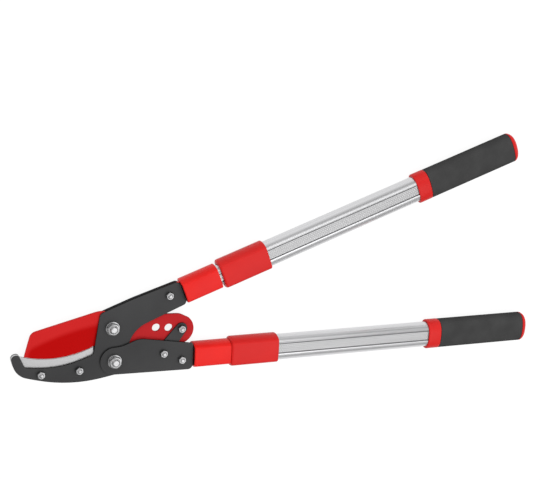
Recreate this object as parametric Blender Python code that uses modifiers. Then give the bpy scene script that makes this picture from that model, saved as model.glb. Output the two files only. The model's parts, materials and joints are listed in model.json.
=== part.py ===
"""Telescopic anvil lopper with a compound head, lying flat with its jaw shut.

Two steel plates carry the anvil and the upper handle. The lower handle turns on them, and a pair of
links makes its swing turn the blade. Each handle is an oval inner tube with an outer tube, collar and
grip that slide along it, held by a sprung rocker in the back of the collar.

Sizes are in millimetres and angles in degrees; the helpers turn them into metres and radians.
The frame has the handle pivot's axis at X = Y = 0 and the surface that the lopper lies on at Z = 0.
+X runs from the jaw to the grips, and +Y from the lower handle to the upper one.
"""

import bmesh
import bpy
from math import acos, asin, atan2, ceil, cos, degrees, pi, radians, sin, sqrt, tan
from mathutils import Matrix, Vector

MM = 0.001
GAP = 0.3                      # clearance left between pieces that touch
HALF_DEPTH = 13.0              # collars, rings and the handle pivot's head all reach down to Z = 0

# Stack of the head, counted from the middle plane
BLADE_THICKNESS = 3.0
PLATE_THICKNESS = 2.0

# Pivots, from the handle pivot's axis
BLADE_PIVOT_X = 4.6
BLADE_PIVOT_Y = 39.3
LINK_PIVOT_X = 57.7
LINK_PIVOT_Y = -5.8
TAIL_ANGLE = -15.2             # row of holes in the blade's tail, seen from the blade pivot
TAIL_HOLE_FIRST = 52.0
TAIL_HOLE_PITCH = 15.0
TAIL_HOLE_RADIUS = 4.9

# Fasteners
PIVOT_BOLT_RADIUS = 4.0
PIVOT_HEAD_RADIUS = 6.5
PIVOT_FLANGE = 2.0             # flange round the pivot bolts' heads: as thick as it is wide
PIVOT_NUT_FLATS = 13.0
PIVOT_NUT_HEIGHT = 5.0
PIVOT_WASHER_RADIUS = 8.2
PIVOT_WASHER_THICKNESS = 1.2
PIVOT_BUSH_RADIUS = 6.5
SMALL_BOLT_RADIUS = 2.5
SMALL_HEAD_RADIUS = 4.75
SMALL_HEAD_HEIGHT = 2.8
SMALL_NUT_FLATS = 8.0
SMALL_NUT_HEIGHT = 4.0
BOLT_END = 1.2                 # what stands out of each nut
LINK_SPACER_RADIUS = 4.4

# Blade and anvil
ANVIL_ARC_X = -48.7            # centre of the curved cutting line
ANVIL_ARC_Y = 132.2
ANVIL_ARC_RADIUS = 113.7
ANVIL_RIGHT = -20.5            # where the anvil's curved face ends, under the plates
HOOK_INSIDE = -103.3           # where it meets the hook
EDGE_TIP = -98.6               # ends of the blade's cutting line
EDGE_HEEL = -18.0
EDGE_HALF = 0.25               # half of the thickness left at the cutting edge
GRIND_HEIGHT = 28.0            # upper line of the flat grind, above the lowest point of the edge
GRIND_TILT = 5.0
GRIND_OVERRUN = 7.0            # the grind runs this far past the heel, under the plates
EDGE_BEVEL_WIDTH = 4.0         # fine bevel along the cutting line
EDGE_BEVEL_SLOPE = 18.0
BLADE_BACK_RADIUS = 25.0       # the back turns down to the tail with this radius
TAIL_LOBE_RADIUS = 18.2
TAIL_LOBE_BACK = 2.8           # the tail's round end is centred this far before the link's hole
TAIL_LOBE_DROP = 2.0           # and this far below the row of holes
ANVIL_BOLT_SPOTS = ((-84.3, 5.8), (-41.2, -0.8))

# Plates and links
BODY_END_RADIUS = 17.4         # round ends of the plates about the handle pivot
HANDLE_END_RADIUS = 16.6
BODY_PLATE_STOP = 0.4          # the plates end this far before the sockets
HANDLE_PLATE_STOP = 0.9
LINK_LOW_RADIUS = 8.8
LINK_HIGH_RADIUS = 6.8
# Corners of the jaw's hooked end, with their radii, shared by the plates and the anvil
HOOK_CORNERS = ((-104.0, 35.0, 4.0), (-113.8, 35.4, 5.0), (-111.6, 10.8, 22.0))

# Handles: each axis crosses X = 0 at its own height and leans away from the other
UPPER_AXIS_Y = 44.6
LOWER_AXIS_Y = -2.0
HANDLE_LEAN = 10.4
SOCKET_START = 94.0            # along the handle's axis, from X = 0
SOCKET_LENGTH = 44.6
SOCKET_HALF_WIDTH = 14.7
SOCKET_HALF_DEPTH = 12.0
SOCKET_BASE = 7.0              # solid end of the socket, before its bore
SOCKET_RIM = 1.8
TANG_LENGTH = 25.0
TANG_SIDE = 12.5
LOWER_TANG_SIDE = 5.5          # narrower on the side where the links come past
TANG_CORNER = 5.0
UPPER_BOLT_BACK = 16.6         # socket bolts, from the socket's end face and from the axis
UPPER_BOLT_SIDE = 2.9
LOWER_BOLT_BACK = 14.4
LOWER_BOLT_SIDE = -3.0
UPPER_DRAWN_OUT = 3.0          # the upper handle stands drawn out by this much

# Sliding part of each handle
LOBE_CENTRE = 4.5              # the tubes are two round lobes joined by flat, sunk panels
OUTER_LOBE_RADIUS = 11.2
INNER_LOBE_RADIUS = 8.2
TUBE_WALL = 1.2
PANEL_SINK = 0.8
PANEL_HALF_WIDTH = 4.8
PANEL_OFFSET = -1.4            # the front panel sits this far off the middle; the back one doesn't
GROOVE_WIDTH = 1.3
GROOVE_DEPTH = 0.6
COLLAR_LENGTH = 59.0
COLLAR_SEAT = 28.0             # depth that the outer tube goes into the collar
COLLAR_HALF_WIDTH = 17.4
COLLAR_FRONT_RIM = 2.6
COLLAR_BACK_RIM = 1.4
VISIBLE_TUBE = 198.5
RING_LENGTH = 16.7
RING_HALF_WIDTH = 18.3
RING_RIM = 1.2
GRIP_LENGTH = 115.0
GRIP_HALF_WIDTH = 18.2
GRIP_HALF_DEPTH = 12.7
GRIP_RIM = 0.8
CAP_HEIGHT = 8.0
CAP_PLUG = 14.0
SLIDE_TRAVEL = 300.0
BUSH_FLANGE = 4.0
BUSH_PLUG = 12.0
BUSH_CATCH = 1.2               # the flange is this much wider than the collar's bore, on each side
LOCK_STATIONS = 5              # slots in the inner tube, at equal steps of the travel

# Rocker lock in the back of each collar
LOCK_PIVOT = 17.0              # from the collar's front
LOCK_PIVOT_DEPTH = 10.9
LOCK_ARM = 10.4
LOCK_HALF_WIDTH = 4.2
LOCK_RECESS = 0.3              # the rocker's pad lies this far under the collar's back
LOCK_PIN_RADIUS = 0.8
LOCK_PIN_HALF_LENGTH = 7.5
LOCK_NIB_NEAR = 6.0
LOCK_NIB_FAR = 9.8
LOCK_POCKET_FLOOR = 9.4
LOCK_SPRING_HALF_WIDTH = 2.5
LOCK_SPRING_THICKNESS = 0.35
SLOT_HALF_LENGTH = 2.3
SLOT_HALF_WIDTH = 4.5

RING_POINTS = 28
ROUND_SIDES = 18
OVAL_POWER = 2.5               # 2 is an ellipse; more is squarer
CREASE_SPOT = 0.75             # creases of the sockets and collars, as a share of the half width
CREASE_ANGLE = 25.0            # where the round side starts, measured from the top of its ellipse
CROWN_DROP = 0.8               # the crowned front falls by this much from the middle to the crease
ARC_ERROR = 0.08               # largest distance from an arc to its chords

BLADE_HALF = BLADE_THICKNESS / 2
BODY_LOW = BLADE_HALF + GAP
BODY_HIGH = BODY_LOW + PLATE_THICKNESS
HANDLE_LOW = BODY_HIGH + GAP
HANDLE_HIGH = HANDLE_LOW + PLATE_THICKNESS
BLADE_PIVOT = Vector((BLADE_PIVOT_X, BLADE_PIVOT_Y))
HANDLE_PIVOT = Vector((0.0, 0.0))
LINK_PIVOT = Vector((LINK_PIVOT_X, LINK_PIVOT_Y))
ANVIL_CENTRE = Vector((ANVIL_ARC_X, ANVIL_ARC_Y))
COLLAR_HOME = SOCKET_START + SOCKET_LENGTH + GAP
BARE_TUBE = COLLAR_LENGTH - COLLAR_SEAT      # part of the collar that runs on the inner tube
INNER_TUBE_END = COLLAR_HOME + BARE_TUBE + SLIDE_TRAVEL

# Name, colour, roughness and metallic value of each finish
BLACK_STEEL = ("black_steel", (0.06, 0.06, 0.062), 0.5, 0.2)
RED_COAT = ("red_coat", (0.62, 0.012, 0.008), 0.35, 0.0)
RED_PLASTIC = ("red_plastic", (0.78, 0.035, 0.025), 0.32, 0.0)
BARE_ALUMINIUM = ("bare_aluminium", (0.72, 0.72, 0.73), 0.35, 1.0)
BRIGHT_STEEL = ("bright_steel", (0.75, 0.75, 0.76), 0.25, 1.0)
DARK_NYLON = ("dark_nylon", (0.03, 0.03, 0.03), 0.5, 0.0)
SOFT_GRIP = ("soft_grip", (0.035, 0.035, 0.036), 0.75, 0.0)


def clear_scene():
    for old in list(bpy.data.objects):
        bpy.data.objects.remove(old, do_unlink=True)


def new_collection(name):
    collection = bpy.data.collections.new(name)
    bpy.context.scene.collection.children.link(collection)
    return collection


def shift(x, y, z=0.0):
    return Matrix.Translation(Vector((x, y, z)) * MM)


clear_scene()
LOPPER = new_collection("telescopic_lopper")
CUTTERS = new_collection("cutters")

# Frames that pieces are drawn in: the head's middle plane, and each handle along its own +X
HEAD = shift(0.0, 0.0, HALF_DEPTH)
UPPER = shift(0.0, UPPER_AXIS_Y, HALF_DEPTH) @ Matrix.Rotation(radians(HANDLE_LEAN), 4, "Z")
LOWER = shift(0.0, LOWER_AXIS_Y, HALF_DEPTH) @ Matrix.Rotation(radians(-HANDLE_LEAN), 4, "Z")


def new_body(name, world, parent=None):
    """An empty on a moving body's axis, which carries that body's pieces."""
    empty = bpy.data.objects.new(name, None)
    LOPPER.objects.link(empty)
    empty["world"] = [value for row in world for value in row]
    empty.parent = parent
    empty.matrix_basis = (world_of(parent).inverted() if parent else Matrix()) @ world
    return empty


def world_of(empty):
    values = empty["world"]
    return Matrix([values[4 * row:4 * row + 4] for row in range(4)])


def new_material(name, finish):
    kind, color, roughness, metallic = finish
    material = bpy.data.materials.new(name + "_" + kind)
    material.use_nodes = True
    shader = material.node_tree.nodes["Principled BSDF"]
    shader.inputs["Base Color"].default_value = (*color, 1.0)
    shader.inputs["Roughness"].default_value = roughness
    shader.inputs["Metallic"].default_value = metallic
    material.diffuse_color = (*color, 1.0)
    return material


def add_node(name, mesh, finish, body, frame, place=Matrix()):
    """Make a named piece of a body from a mesh drawn in one of the frames."""
    node = bpy.data.objects.new(name, mesh)
    LOPPER.objects.link(node)
    mesh.materials.append(new_material(name, finish))
    node.parent = body
    node.matrix_basis = world_of(body).inverted() @ frame @ place
    return node


def modify(node, mesh, frame, operation, place=Matrix()):
    """Cut a mesh from a piece, or join it on, with an exact Boolean."""
    tool = bpy.data.objects.new(mesh.name, mesh)
    CUTTERS.objects.link(tool)
    tool.hide_render = True
    tool.display_type = "WIRE"
    tool.matrix_basis = frame @ place
    modifier = node.modifiers.new(operation.lower(), "BOOLEAN")
    modifier.operation = operation
    modifier.solver = "EXACT"
    modifier.object = tool


def arc(centre, radius, start, end):
    """Points on an arc from one angle to another, as many as the allowed error needs."""
    step = degrees(2 * acos(max(0.5, 1 - ARC_ERROR / radius)))
    steps = max(2, ceil(abs(end - start) / step))
    angles = [radians(start + (end - start) * i / steps) for i in range(steps + 1)]
    return [(centre[0] + radius * cos(a), centre[1] + radius * sin(a)) for a in angles]


def circle(centre, radius, sides=ROUND_SIDES):
    angles = [2 * pi * i / sides for i in range(sides)]
    return [(centre[0] + radius * cos(a), centre[1] + radius * sin(a)) for a in angles]


def rounded(corners):
    """Close a polygon whose corners (x, y, radius) are rounded and whose points (x, y) are sharp."""
    points = []
    for i, corner in enumerate(corners):
        here = Vector(corner[:2])
        if len(corner) == 2:
            points.append(tuple(here))
            continue
        before = (Vector(corners[i - 1][:2]) - here).normalized()
        after = (Vector(corners[(i + 1) % len(corners)][:2]) - here).normalized()
        half = before.angle(after) / 2
        centre = here + (before + after).normalized() * corner[2] / sin(half)
        first = here + before * corner[2] / tan(half) - centre
        last = here + after * corner[2] / tan(half) - centre
        start = atan2(first.y, first.x)
        turn = (atan2(last.y, last.x) - start + pi) % (2 * pi) - pi
        points += arc(centre, corner[2], degrees(start), degrees(start + turn))
    return points


def strap(low, low_radius, high, high_radius):
    """Outline of a bar with two round ends of unlike radius."""
    along = high - low
    middle = degrees(atan2(along.y, along.x))
    open_angle = degrees(acos((low_radius - high_radius) / along.length))
    return (arc(high, high_radius, middle - open_angle, middle + open_angle)
            + arc(low, low_radius, middle + open_angle, middle + 360 - open_angle))


def on_handle(frame, along, side):
    """A point of a handle's middle plane, in the head's frame."""
    point = frame @ (Vector((along, side, 0.0)) * MM) / MM
    return (point.x, point.y)


def flat_mesh(name, outline, holes, low, high):
    """A flat outline with holes, filled from one height to another, as a closed mesh."""
    curve = bpy.data.curves.new(name, "CURVE")
    curve.dimensions = "2D"
    curve.fill_mode = "BOTH"
    curve.extrude = (high - low) / 2 * MM
    for ring in [outline, *holes]:
        spline = curve.splines.new("POLY")
        spline.points.add(len(ring) - 1)
        spline.use_cyclic_u = True
        for point, (x, y) in zip(spline.points, ring):
            point.co = (x * MM, y * MM, 0.0, 1.0)
    shape = bpy.data.objects.new(name, curve)
    bpy.context.scene.collection.objects.link(shape)
    mesh = bpy.data.meshes.new_from_object(shape.evaluated_get(bpy.context.evaluated_depsgraph_get()))
    bpy.data.objects.remove(shape, do_unlink=True)
    bm = bmesh.new()
    bm.from_mesh(mesh)
    bmesh.ops.remove_doubles(bm, verts=bm.verts, dist=1e-6)
    bmesh.ops.translate(bm, verts=bm.verts, vec=(0.0, 0.0, (low + high) / 2 * MM))
    bmesh.ops.recalc_face_normals(bm, faces=bm.faces)
    bm.to_mesh(mesh)
    bm.free()
    mesh.name = name
    return mesh


def run_along(mesh):
    """Turn a mesh drawn as (across, up) so that its height runs along the handle."""
    mesh.transform(Matrix(((0, 0, 1, 0), (1, 0, 0, 0), (0, 1, 0, 0), (0, 0, 0, 1))))
    return mesh


def run_across(mesh):
    """Turn a mesh drawn as (along, up) so that its height runs across the handle."""
    mesh.transform(Matrix(((1, 0, 0, 0), (0, 0, -1, 0), (0, 1, 0, 0), (0, 0, 0, 1))))
    return mesh


def box_mesh(name, low, high):
    """A box between two corners."""
    low, high = Vector(low) * MM, Vector(high) * MM
    bm = bmesh.new()
    bmesh.ops.create_cube(bm, size=1.0)
    bmesh.ops.scale(bm, vec=high - low, verts=bm.verts)
    bmesh.ops.translate(bm, vec=(low + high) / 2, verts=bm.verts)
    mesh = bpy.data.meshes.new(name)
    bm.to_mesh(mesh)
    bm.free()
    return mesh


def turned_node(name, profile, finish, body, centre, frame=HEAD):
    """A round piece, turned about a vertical axis from its (radius, height) profile."""
    mesh = bpy.data.meshes.new(name)
    closing = [(len(profile) - 1, 0)] if profile[0][0] > 0 else []
    edges = [(i, i + 1) for i in range(len(profile) - 1)] + closing
    mesh.from_pydata([(radius * MM, 0.0, height * MM) for radius, height in profile], edges, [])
    node = add_node(name, mesh, finish, body, frame, shift(*centre))
    turn = node.modifiers.new("turn", "SCREW")
    turn.angle = 2 * pi
    turn.steps = ROUND_SIDES
    turn.render_steps = ROUND_SIDES
    turn.use_merge_vertices = True
    turn.merge_threshold = 1e-6
    return node


def add_sleeve(name, outer, inner, half_length, finish, body, centre, middle=0.0):
    """A washer, bush or spacer with broken outer edges."""
    low, high, edge = middle - half_length, middle + half_length, GAP
    profile = [(inner, high), (outer - edge, high), (outer, high - edge), (outer, low + edge),
               (outer - edge, low), (inner, low)]
    return turned_node(name, profile, finish, body, centre)


def add_bolt(name, radius, head_radius, head_bottom, head_top, top, body, centre, flange=0.0):
    """A bolt with a round head at the back, and a flange round it if given, turned in one piece."""
    edge = (head_top - flange - head_bottom) / 3
    profile = [(0.0, top), (radius - GAP, top), (radius, top - GAP), (radius, head_top)]
    if flange:
        profile += [(head_radius + flange, head_top), (head_radius + flange, head_top - flange)]
    profile += [(head_radius, head_top - flange), (head_radius, head_bottom + edge),
                (head_radius - edge, head_bottom), (0.0, head_bottom)]
    return turned_node(name, profile, BRIGHT_STEEL, body, centre)


def add_nut(name, flats, bolt_radius, low, height, body, centre):
    """A hexagon nut with a clear bore and its upper edges broken."""
    bore = circle(centre, bolt_radius + GAP)
    mesh = flat_mesh(name, circle(centre, flats / sqrt(3), 6), [bore], low, low + height)
    return add_node(name, mesh, BRIGHT_STEEL, body, HEAD)


def add_small_bolt(name, outer, body, centre):
    """A small bolt and nut through plates whose outer faces lie at the given height."""
    low = -outer - GAP - SMALL_HEAD_HEIGHT
    nut_low = outer + GAP
    top = nut_low + SMALL_NUT_HEIGHT + BOLT_END
    add_bolt(name + "_bolt", SMALL_BOLT_RADIUS, SMALL_HEAD_RADIUS, low, -outer - GAP, top, body, centre)
    add_nut(name + "_nut", SMALL_NUT_FLATS, SMALL_BOLT_RADIUS, nut_low, SMALL_NUT_HEIGHT, body, centre)


def add_pivot_bolt(name, outer, head_bottom, body, centre):
    """A pivot bolt with its washer and nut, through plates with outer faces at the given height."""
    washer_middle = outer + GAP + PIVOT_WASHER_THICKNESS / 2
    nut_low = outer + 2 * GAP + PIVOT_WASHER_THICKNESS
    top = nut_low + PIVOT_NUT_HEIGHT + BOLT_END
    add_bolt(name + "_bolt", PIVOT_BOLT_RADIUS, PIVOT_HEAD_RADIUS, head_bottom, -outer - GAP, top,
             body, centre, PIVOT_FLANGE)
    add_sleeve(name + "_washer", PIVOT_WASHER_RADIUS, PIVOT_BOLT_RADIUS + GAP,
               PIVOT_WASHER_THICKNESS / 2, BRIGHT_STEEL, body, centre, washer_middle)
    add_nut(name + "_nut", PIVOT_NUT_FLATS, PIVOT_BOLT_RADIUS, nut_low, PIVOT_NUT_HEIGHT, body, centre)


def creased(half_width, half_depth):
    """Section of a socket or collar: a crowned front and back that meet the round sides at creases."""
    crease = CREASE_SPOT * half_width
    edge_sin, edge_cos = sin(radians(CREASE_ANGLE)), cos(radians(CREASE_ANGLE))
    centre = (crease - half_width * edge_sin) / (1 - edge_sin)
    depth = (half_depth - CROWN_DROP) / edge_cos
    sides = RING_POINTS // 4 - 2
    quarter = []
    for i in range(sides, 0, -1):
        angle = radians(CREASE_ANGLE + (90 - CREASE_ANGLE) * i / (sides + 0.5))
        quarter.append((centre + (half_width - centre) * sin(angle), depth * cos(angle)))
    quarter += [(crease, half_depth - CROWN_DROP), (crease / 3, half_depth - CROWN_DROP / 9)]
    upper = quarter + [(-across, up) for across, up in reversed(quarter)]
    return upper + [(-across, -up) for across, up in upper]


def oval(half_width, half_depth):
    """Section of a ring or grip: a squared oval."""
    points = []
    for i in range(RING_POINTS):
        angle = 2 * pi * (i + 0.5) / RING_POINTS
        across, up = cos(angle), sin(angle)
        points.append((half_width * abs(across) ** (2 / OVAL_POWER) * (1 if across > 0 else -1),
                       half_depth * abs(up) ** (2 / OVAL_POWER) * (1 if up > 0 else -1)))
    return points


def stadium(radius, flat=None):
    """Section of a bore: two round lobes joined by straight sides, cut flat at a height if given."""
    limit = flat or radius
    points = []
    for i in range(RING_POINTS):
        angle = 2 * pi * (i + 0.5) / RING_POINTS
        side = LOBE_CENTRE if cos(angle) > 0 else -LOBE_CENTRE
        points.append((side + radius * cos(angle), max(-limit, min(limit, radius * sin(angle)))))
    return points


def loft(name, stations, closed):
    """Skin over (place along the handle, section) stations; a closed loft returns to its start."""
    bm = bmesh.new()
    rings = [[bm.verts.new(Vector((along, across, up)) * MM) for across, up in section]
             for along, section in stations]
    pairs = list(zip(rings, rings[1:] + rings[:1])) if closed else list(zip(rings, rings[1:]))
    for first, second in pairs:
        for i in range(RING_POINTS):
            j = (i + 1) % RING_POINTS
            bm.faces.new((first[i], first[j], second[j], second[i]))
    if not closed:
        bm.faces.new(rings[0])
        bm.faces.new(rings[-1])
    bmesh.ops.recalc_face_normals(bm, faces=bm.faces)
    mesh = bpy.data.meshes.new(name)
    bm.to_mesh(mesh)
    bm.free()
    return mesh


def rounded_sides(section, half_width, half_depth, start, end, start_rim, end_rim):
    """Outer stations of a sleeve of the given section, whose two rims are rounded."""
    stations = []
    for rim, edge, inwards in ((start_rim, start, 1), (end_rim, end, -1)):
        quarter = []
        for angle in (0, 45, 90):
            drawn_in = rim * (1 - sin(radians(angle)))
            along = edge + inwards * rim * (1 - cos(radians(angle)))
            quarter.append((along, section(half_width - drawn_in, half_depth - drawn_in)))
        stations += quarter if inwards > 0 else quarter[::-1]
    return stations


def tube_mesh(name, lobe_radius, start, end):
    """Extruded tube: round lobes, and sunk panels between fine grooves on the front and back."""
    panel = lobe_radius - PANEL_SINK
    inner_radius = lobe_radius - TUBE_WALL
    inner_panel = panel - TUBE_WALL
    lip = PANEL_HALF_WIDTH - GROOVE_WIDTH / 2
    reach = PANEL_HALF_WIDTH + GROOVE_WIDTH / 2
    offset = {1: PANEL_OFFSET, -1: 0.0}
    outer, inner = [], []
    for side in (1, -1):
        centre = (side * LOBE_CENTRE, 0.0)
        turn = 0 if side > 0 else 180
        past_start = max(0.0, reach - offset[-side] - LOBE_CENTRE)
        past_end = max(0.0, reach + offset[side] - LOBE_CENTRE)
        outer += arc(centre, lobe_radius, turn - 90 + degrees(asin(past_start / lobe_radius)),
                     turn + 90 - degrees(asin(past_end / lobe_radius)))
        for across, depth in ((PANEL_HALF_WIDTH, GROOVE_DEPTH), (lip, 0.0), (-lip, 0.0),
                              (-PANEL_HALF_WIDTH, GROOVE_DEPTH)):
            outer.append((side * (across + offset[side]), side * (panel - depth)))
        inner += arc(centre, inner_radius, turn - 70, turn + 70)
        inner += [(side * lip, side * inner_panel), (-side * lip, side * inner_panel)]
    return run_along(flat_mesh(name, outer, [inner], start, end))


def make_plates(body, lower_handle):
    """The four steel plates of the head."""
    end = BODY_END_RADIUS
    stop = SOCKET_START - BODY_PLATE_STOP
    socket_bolt = on_handle(UPPER, SOCKET_START - UPPER_BOLT_BACK, UPPER_BOLT_SIDE)
    outline = rounded([
        (-6.4, 59.6, 6.0), (-21.8, 13.4, 4.2), (-61.5, 6.2, 112.0), (-100.0, 18.2, 3.0), *HOOK_CORNERS,
        (-54.5, -end, 165.0), (end, -end, end - GAP), (17.5, 29.2, 34.0),
        (*on_handle(UPPER, stop, -15.2), 4.5), (*on_handle(UPPER, stop, 14.2), 5.5), (34.0, 67.4, 200.0),
    ])
    holes = [circle(BLADE_PIVOT, PIVOT_BOLT_RADIUS + GAP), circle(HANDLE_PIVOT, PIVOT_BOLT_RADIUS + GAP),
             circle(socket_bolt, SMALL_BOLT_RADIUS + GAP)]
    holes += [circle(spot, SMALL_BOLT_RADIUS + GAP) for spot in ANVIL_BOLT_SPOTS]
    front = flat_mesh("body_plate_front", outline, holes, BODY_LOW, BODY_HIGH)
    rear = flat_mesh("body_plate_rear", outline, holes, -BODY_HIGH, -BODY_LOW)
    add_node("body_plate_front", front, BLACK_STEEL, body, HEAD)
    add_node("body_plate_rear", rear, BLACK_STEEL, body, HEAD)

    end = HANDLE_END_RADIUS
    stop = SOCKET_START - HANDLE_PLATE_STOP
    socket_bolt = on_handle(LOWER, SOCKET_START - LOWER_BOLT_BACK, LOWER_BOLT_SIDE)
    holes = [circle(HANDLE_PIVOT, PIVOT_BOLT_RADIUS + GAP), circle(LINK_PIVOT, SMALL_BOLT_RADIUS + GAP),
             circle(socket_bolt, SMALL_BOLT_RADIUS + GAP)]
    round_end = arc(HANDLE_PIVOT, end, 75.0, 270 - HANDLE_LEAN)
    for name, top_side, low, high in (("handle_plate_front", 16.1, HANDLE_LOW, HANDLE_HIGH),
                                      ("handle_plate_rear", 11.2, -HANDLE_HIGH, -HANDLE_LOW)):
        outline = round_end + rounded([
            (*on_handle(LOWER, 0.0, -14.6),), (*on_handle(LOWER, stop, -16.3), 5.5),
            (*on_handle(LOWER, stop, top_side), 4.0), (33.0, 19.2, 22.0), (12.0, 15.4),
        ])
        add_node(name, flat_mesh(name, outline, holes, low, high), BLACK_STEEL, lower_handle, HEAD)


def cutting_arc(radius, right, left):
    """Arc about the cutting line's centre, between two places given by their X."""
    start, end = (-degrees(acos((x - ANVIL_ARC_X) / radius)) for x in (right, left))
    return arc(ANVIL_CENTRE, radius, start, end)


def make_anvil(body):
    """The soft anvil between the body plates, with the two bolts that hold it."""
    top = cutting_arc(ANVIL_ARC_RADIUS + GAP, ANVIL_RIGHT, HOOK_INSIDE)
    below = rounded([top[-1], *HOOK_CORNERS, (-58.0, -14.0, 120.0), (-22.0, -8.0, 6.0), top[0]])
    holes = [circle(spot, SMALL_BOLT_RADIUS + GAP) for spot in ANVIL_BOLT_SPOTS]
    mesh = flat_mesh("anvil", top + below[1:-1], holes, -BLADE_HALF, BLADE_HALF)
    add_node("anvil", mesh, BARE_ALUMINIUM, body, HEAD)
    for spot, name in zip(ANVIL_BOLT_SPOTS, ("anvil_front", "anvil_back")):
        add_small_bolt(name, BODY_HIGH, body, spot)


def edge_bevel_mesh(name, side):
    """Curved wedge that grinds the fine bevel on one side of the cutting line."""
    rise = EDGE_BEVEL_WIDTH * tan(radians(EDGE_BEVEL_SLOPE))
    section = [(ANVIL_ARC_RADIUS - EDGE_BEVEL_WIDTH, EDGE_HALF + rise), (ANVIL_ARC_RADIUS, EDGE_HALF),
               (ANVIL_ARC_RADIUS + 2, EDGE_HALF), (ANVIL_ARC_RADIUS + 2, BLADE_THICKNESS),
               (ANVIL_ARC_RADIUS - EDGE_BEVEL_WIDTH, BLADE_THICKNESS)]
    start, end = (-acos((x - ANVIL_ARC_X) / ANVIL_ARC_RADIUS) for x in (EDGE_TIP - 5, EDGE_HEEL + 1))
    bm = bmesh.new()
    corners = [bm.verts.new(Vector((radius * cos(start), radius * sin(start), side * up)) * MM)
               for radius, up in section]
    face = bm.faces.new(corners)
    bmesh.ops.spin(bm, geom=[face], cent=(0, 0, 0), axis=(0, 0, 1), dvec=(0, 0, 0), angle=end - start,
                   steps=16, use_merge=False, use_normal_flip=False, use_duplicate=False)
    bmesh.ops.recalc_face_normals(bm, faces=bm.faces)
    mesh = bpy.data.meshes.new(name)
    bm.to_mesh(mesh)
    bm.free()
    return mesh


def make_blade(blade):
    """The blade and its tail, ground flat on both sides with a fine bevel along the edge."""
    tail = Matrix.Rotation(radians(TAIL_ANGLE), 2)
    holes = [BLADE_PIVOT + tail @ Vector((TAIL_HOLE_FIRST + i * TAIL_HOLE_PITCH, 0)) for i in range(3)]
    lobe = holes[-1] - tail @ Vector((TAIL_LOBE_BACK, TAIL_LOBE_DROP))
    edge = cutting_arc(ANVIL_ARC_RADIUS, EDGE_TIP, EDGE_HEEL)
    heel = rounded([edge[-1], (-11.0, 18.8, 4.0), (2.0, 18.2, 14.0),
                    tuple(lobe + tail @ Vector((0, -TAIL_LOBE_RADIUS)))])[1:-1]
    end = arc(lobe, TAIL_LOBE_RADIUS, TAIL_ANGLE - 90, 35.0)
    back = rounded([end[-1], (85.0, 35.2, 14.0), (60.0, 41.0, 25.0), (-6.0, 62.0, BLADE_BACK_RADIUS),
                    (-86.0, 56.1, 9.0), edge[0]])[1:-1]
    bores = [circle(BLADE_PIVOT, PIVOT_BUSH_RADIUS + GAP)] + [circle(h, TAIL_HOLE_RADIUS) for h in holes]
    mesh = flat_mesh("blade", edge + heel + end + back, bores, -BLADE_HALF, BLADE_HALF)
    node = add_node("blade", mesh, RED_COAT, blade, HEAD)
    line_y = ANVIL_ARC_Y - ANVIL_ARC_RADIUS + GRIND_HEIGHT
    slope = atan2(BLADE_HALF - EDGE_HALF, GRIND_HEIGHT)
    for side, label in ((1, "front"), (-1, "back")):
        reach = GRIND_HEIGHT * 2
        low, high = sorted((0.0, side * BLADE_THICKNESS))
        tip = EDGE_TIP - ANVIL_ARC_X - reach / 2
        heel_end = EDGE_HEEL - ANVIL_ARC_X + GRIND_OVERRUN
        wedge = box_mesh("grind_" + label, (tip, -reach, low), (heel_end, 0, high))
        place = (shift(ANVIL_ARC_X, line_y, side * BLADE_HALF)
                 @ Matrix.Rotation(radians(GRIND_TILT), 4, "Z") @ Matrix.Rotation(side * slope, 4, "X"))
        modify(node, wedge, HEAD, "DIFFERENCE", place)
        bevel = edge_bevel_mesh("edge_bevel_" + label, side)
        modify(node, bevel, HEAD, "DIFFERENCE", shift(*ANVIL_CENTRE))
    return holes[-1]


def make_links(link, lower_handle, tail_hole):
    """Two short links from the lower handle's pivot to the last hole in the blade's tail."""
    outline = strap(LINK_PIVOT, LINK_LOW_RADIUS, tail_hole, LINK_HIGH_RADIUS)
    holes = [circle(LINK_PIVOT, SMALL_BOLT_RADIUS + GAP), circle(tail_hole, SMALL_BOLT_RADIUS + GAP)]
    front = flat_mesh("link_front", outline, holes, BODY_LOW, BODY_HIGH)
    rear = flat_mesh("link_rear", outline, holes, -BODY_HIGH, -BODY_LOW)
    add_node("link_front", front, BLACK_STEEL, link, HEAD)
    add_node("link_rear", rear, BLACK_STEEL, link, HEAD)
    add_small_bolt("link_tail", BODY_HIGH, link, tuple(tail_hole))
    add_small_bolt("link_pivot", HANDLE_HIGH, lower_handle, tuple(LINK_PIVOT))
    add_sleeve("link_pivot_spacer", LINK_SPACER_RADIUS, SMALL_BOLT_RADIUS + GAP, BLADE_HALF,
               BRIGHT_STEEL, lower_handle, tuple(LINK_PIVOT))


def make_pivots(body):
    """The blade's and the handle's pivot bolts, with the bushes that run between the plates."""
    for name, centre, outer, bottom in (
            ("blade_pivot", tuple(BLADE_PIVOT), BODY_HIGH, BODY_HIGH - HANDLE_HIGH + HALF_DEPTH),
            ("handle_pivot", tuple(HANDLE_PIVOT), HANDLE_HIGH, HALF_DEPTH)):
        add_pivot_bolt(name, outer, -bottom, body, centre)
        add_sleeve(name + "_bush", PIVOT_BUSH_RADIUS, PIVOT_BOLT_RADIUS + GAP, BLADE_HALF,
                   BRIGHT_STEEL, body, centre)


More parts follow.
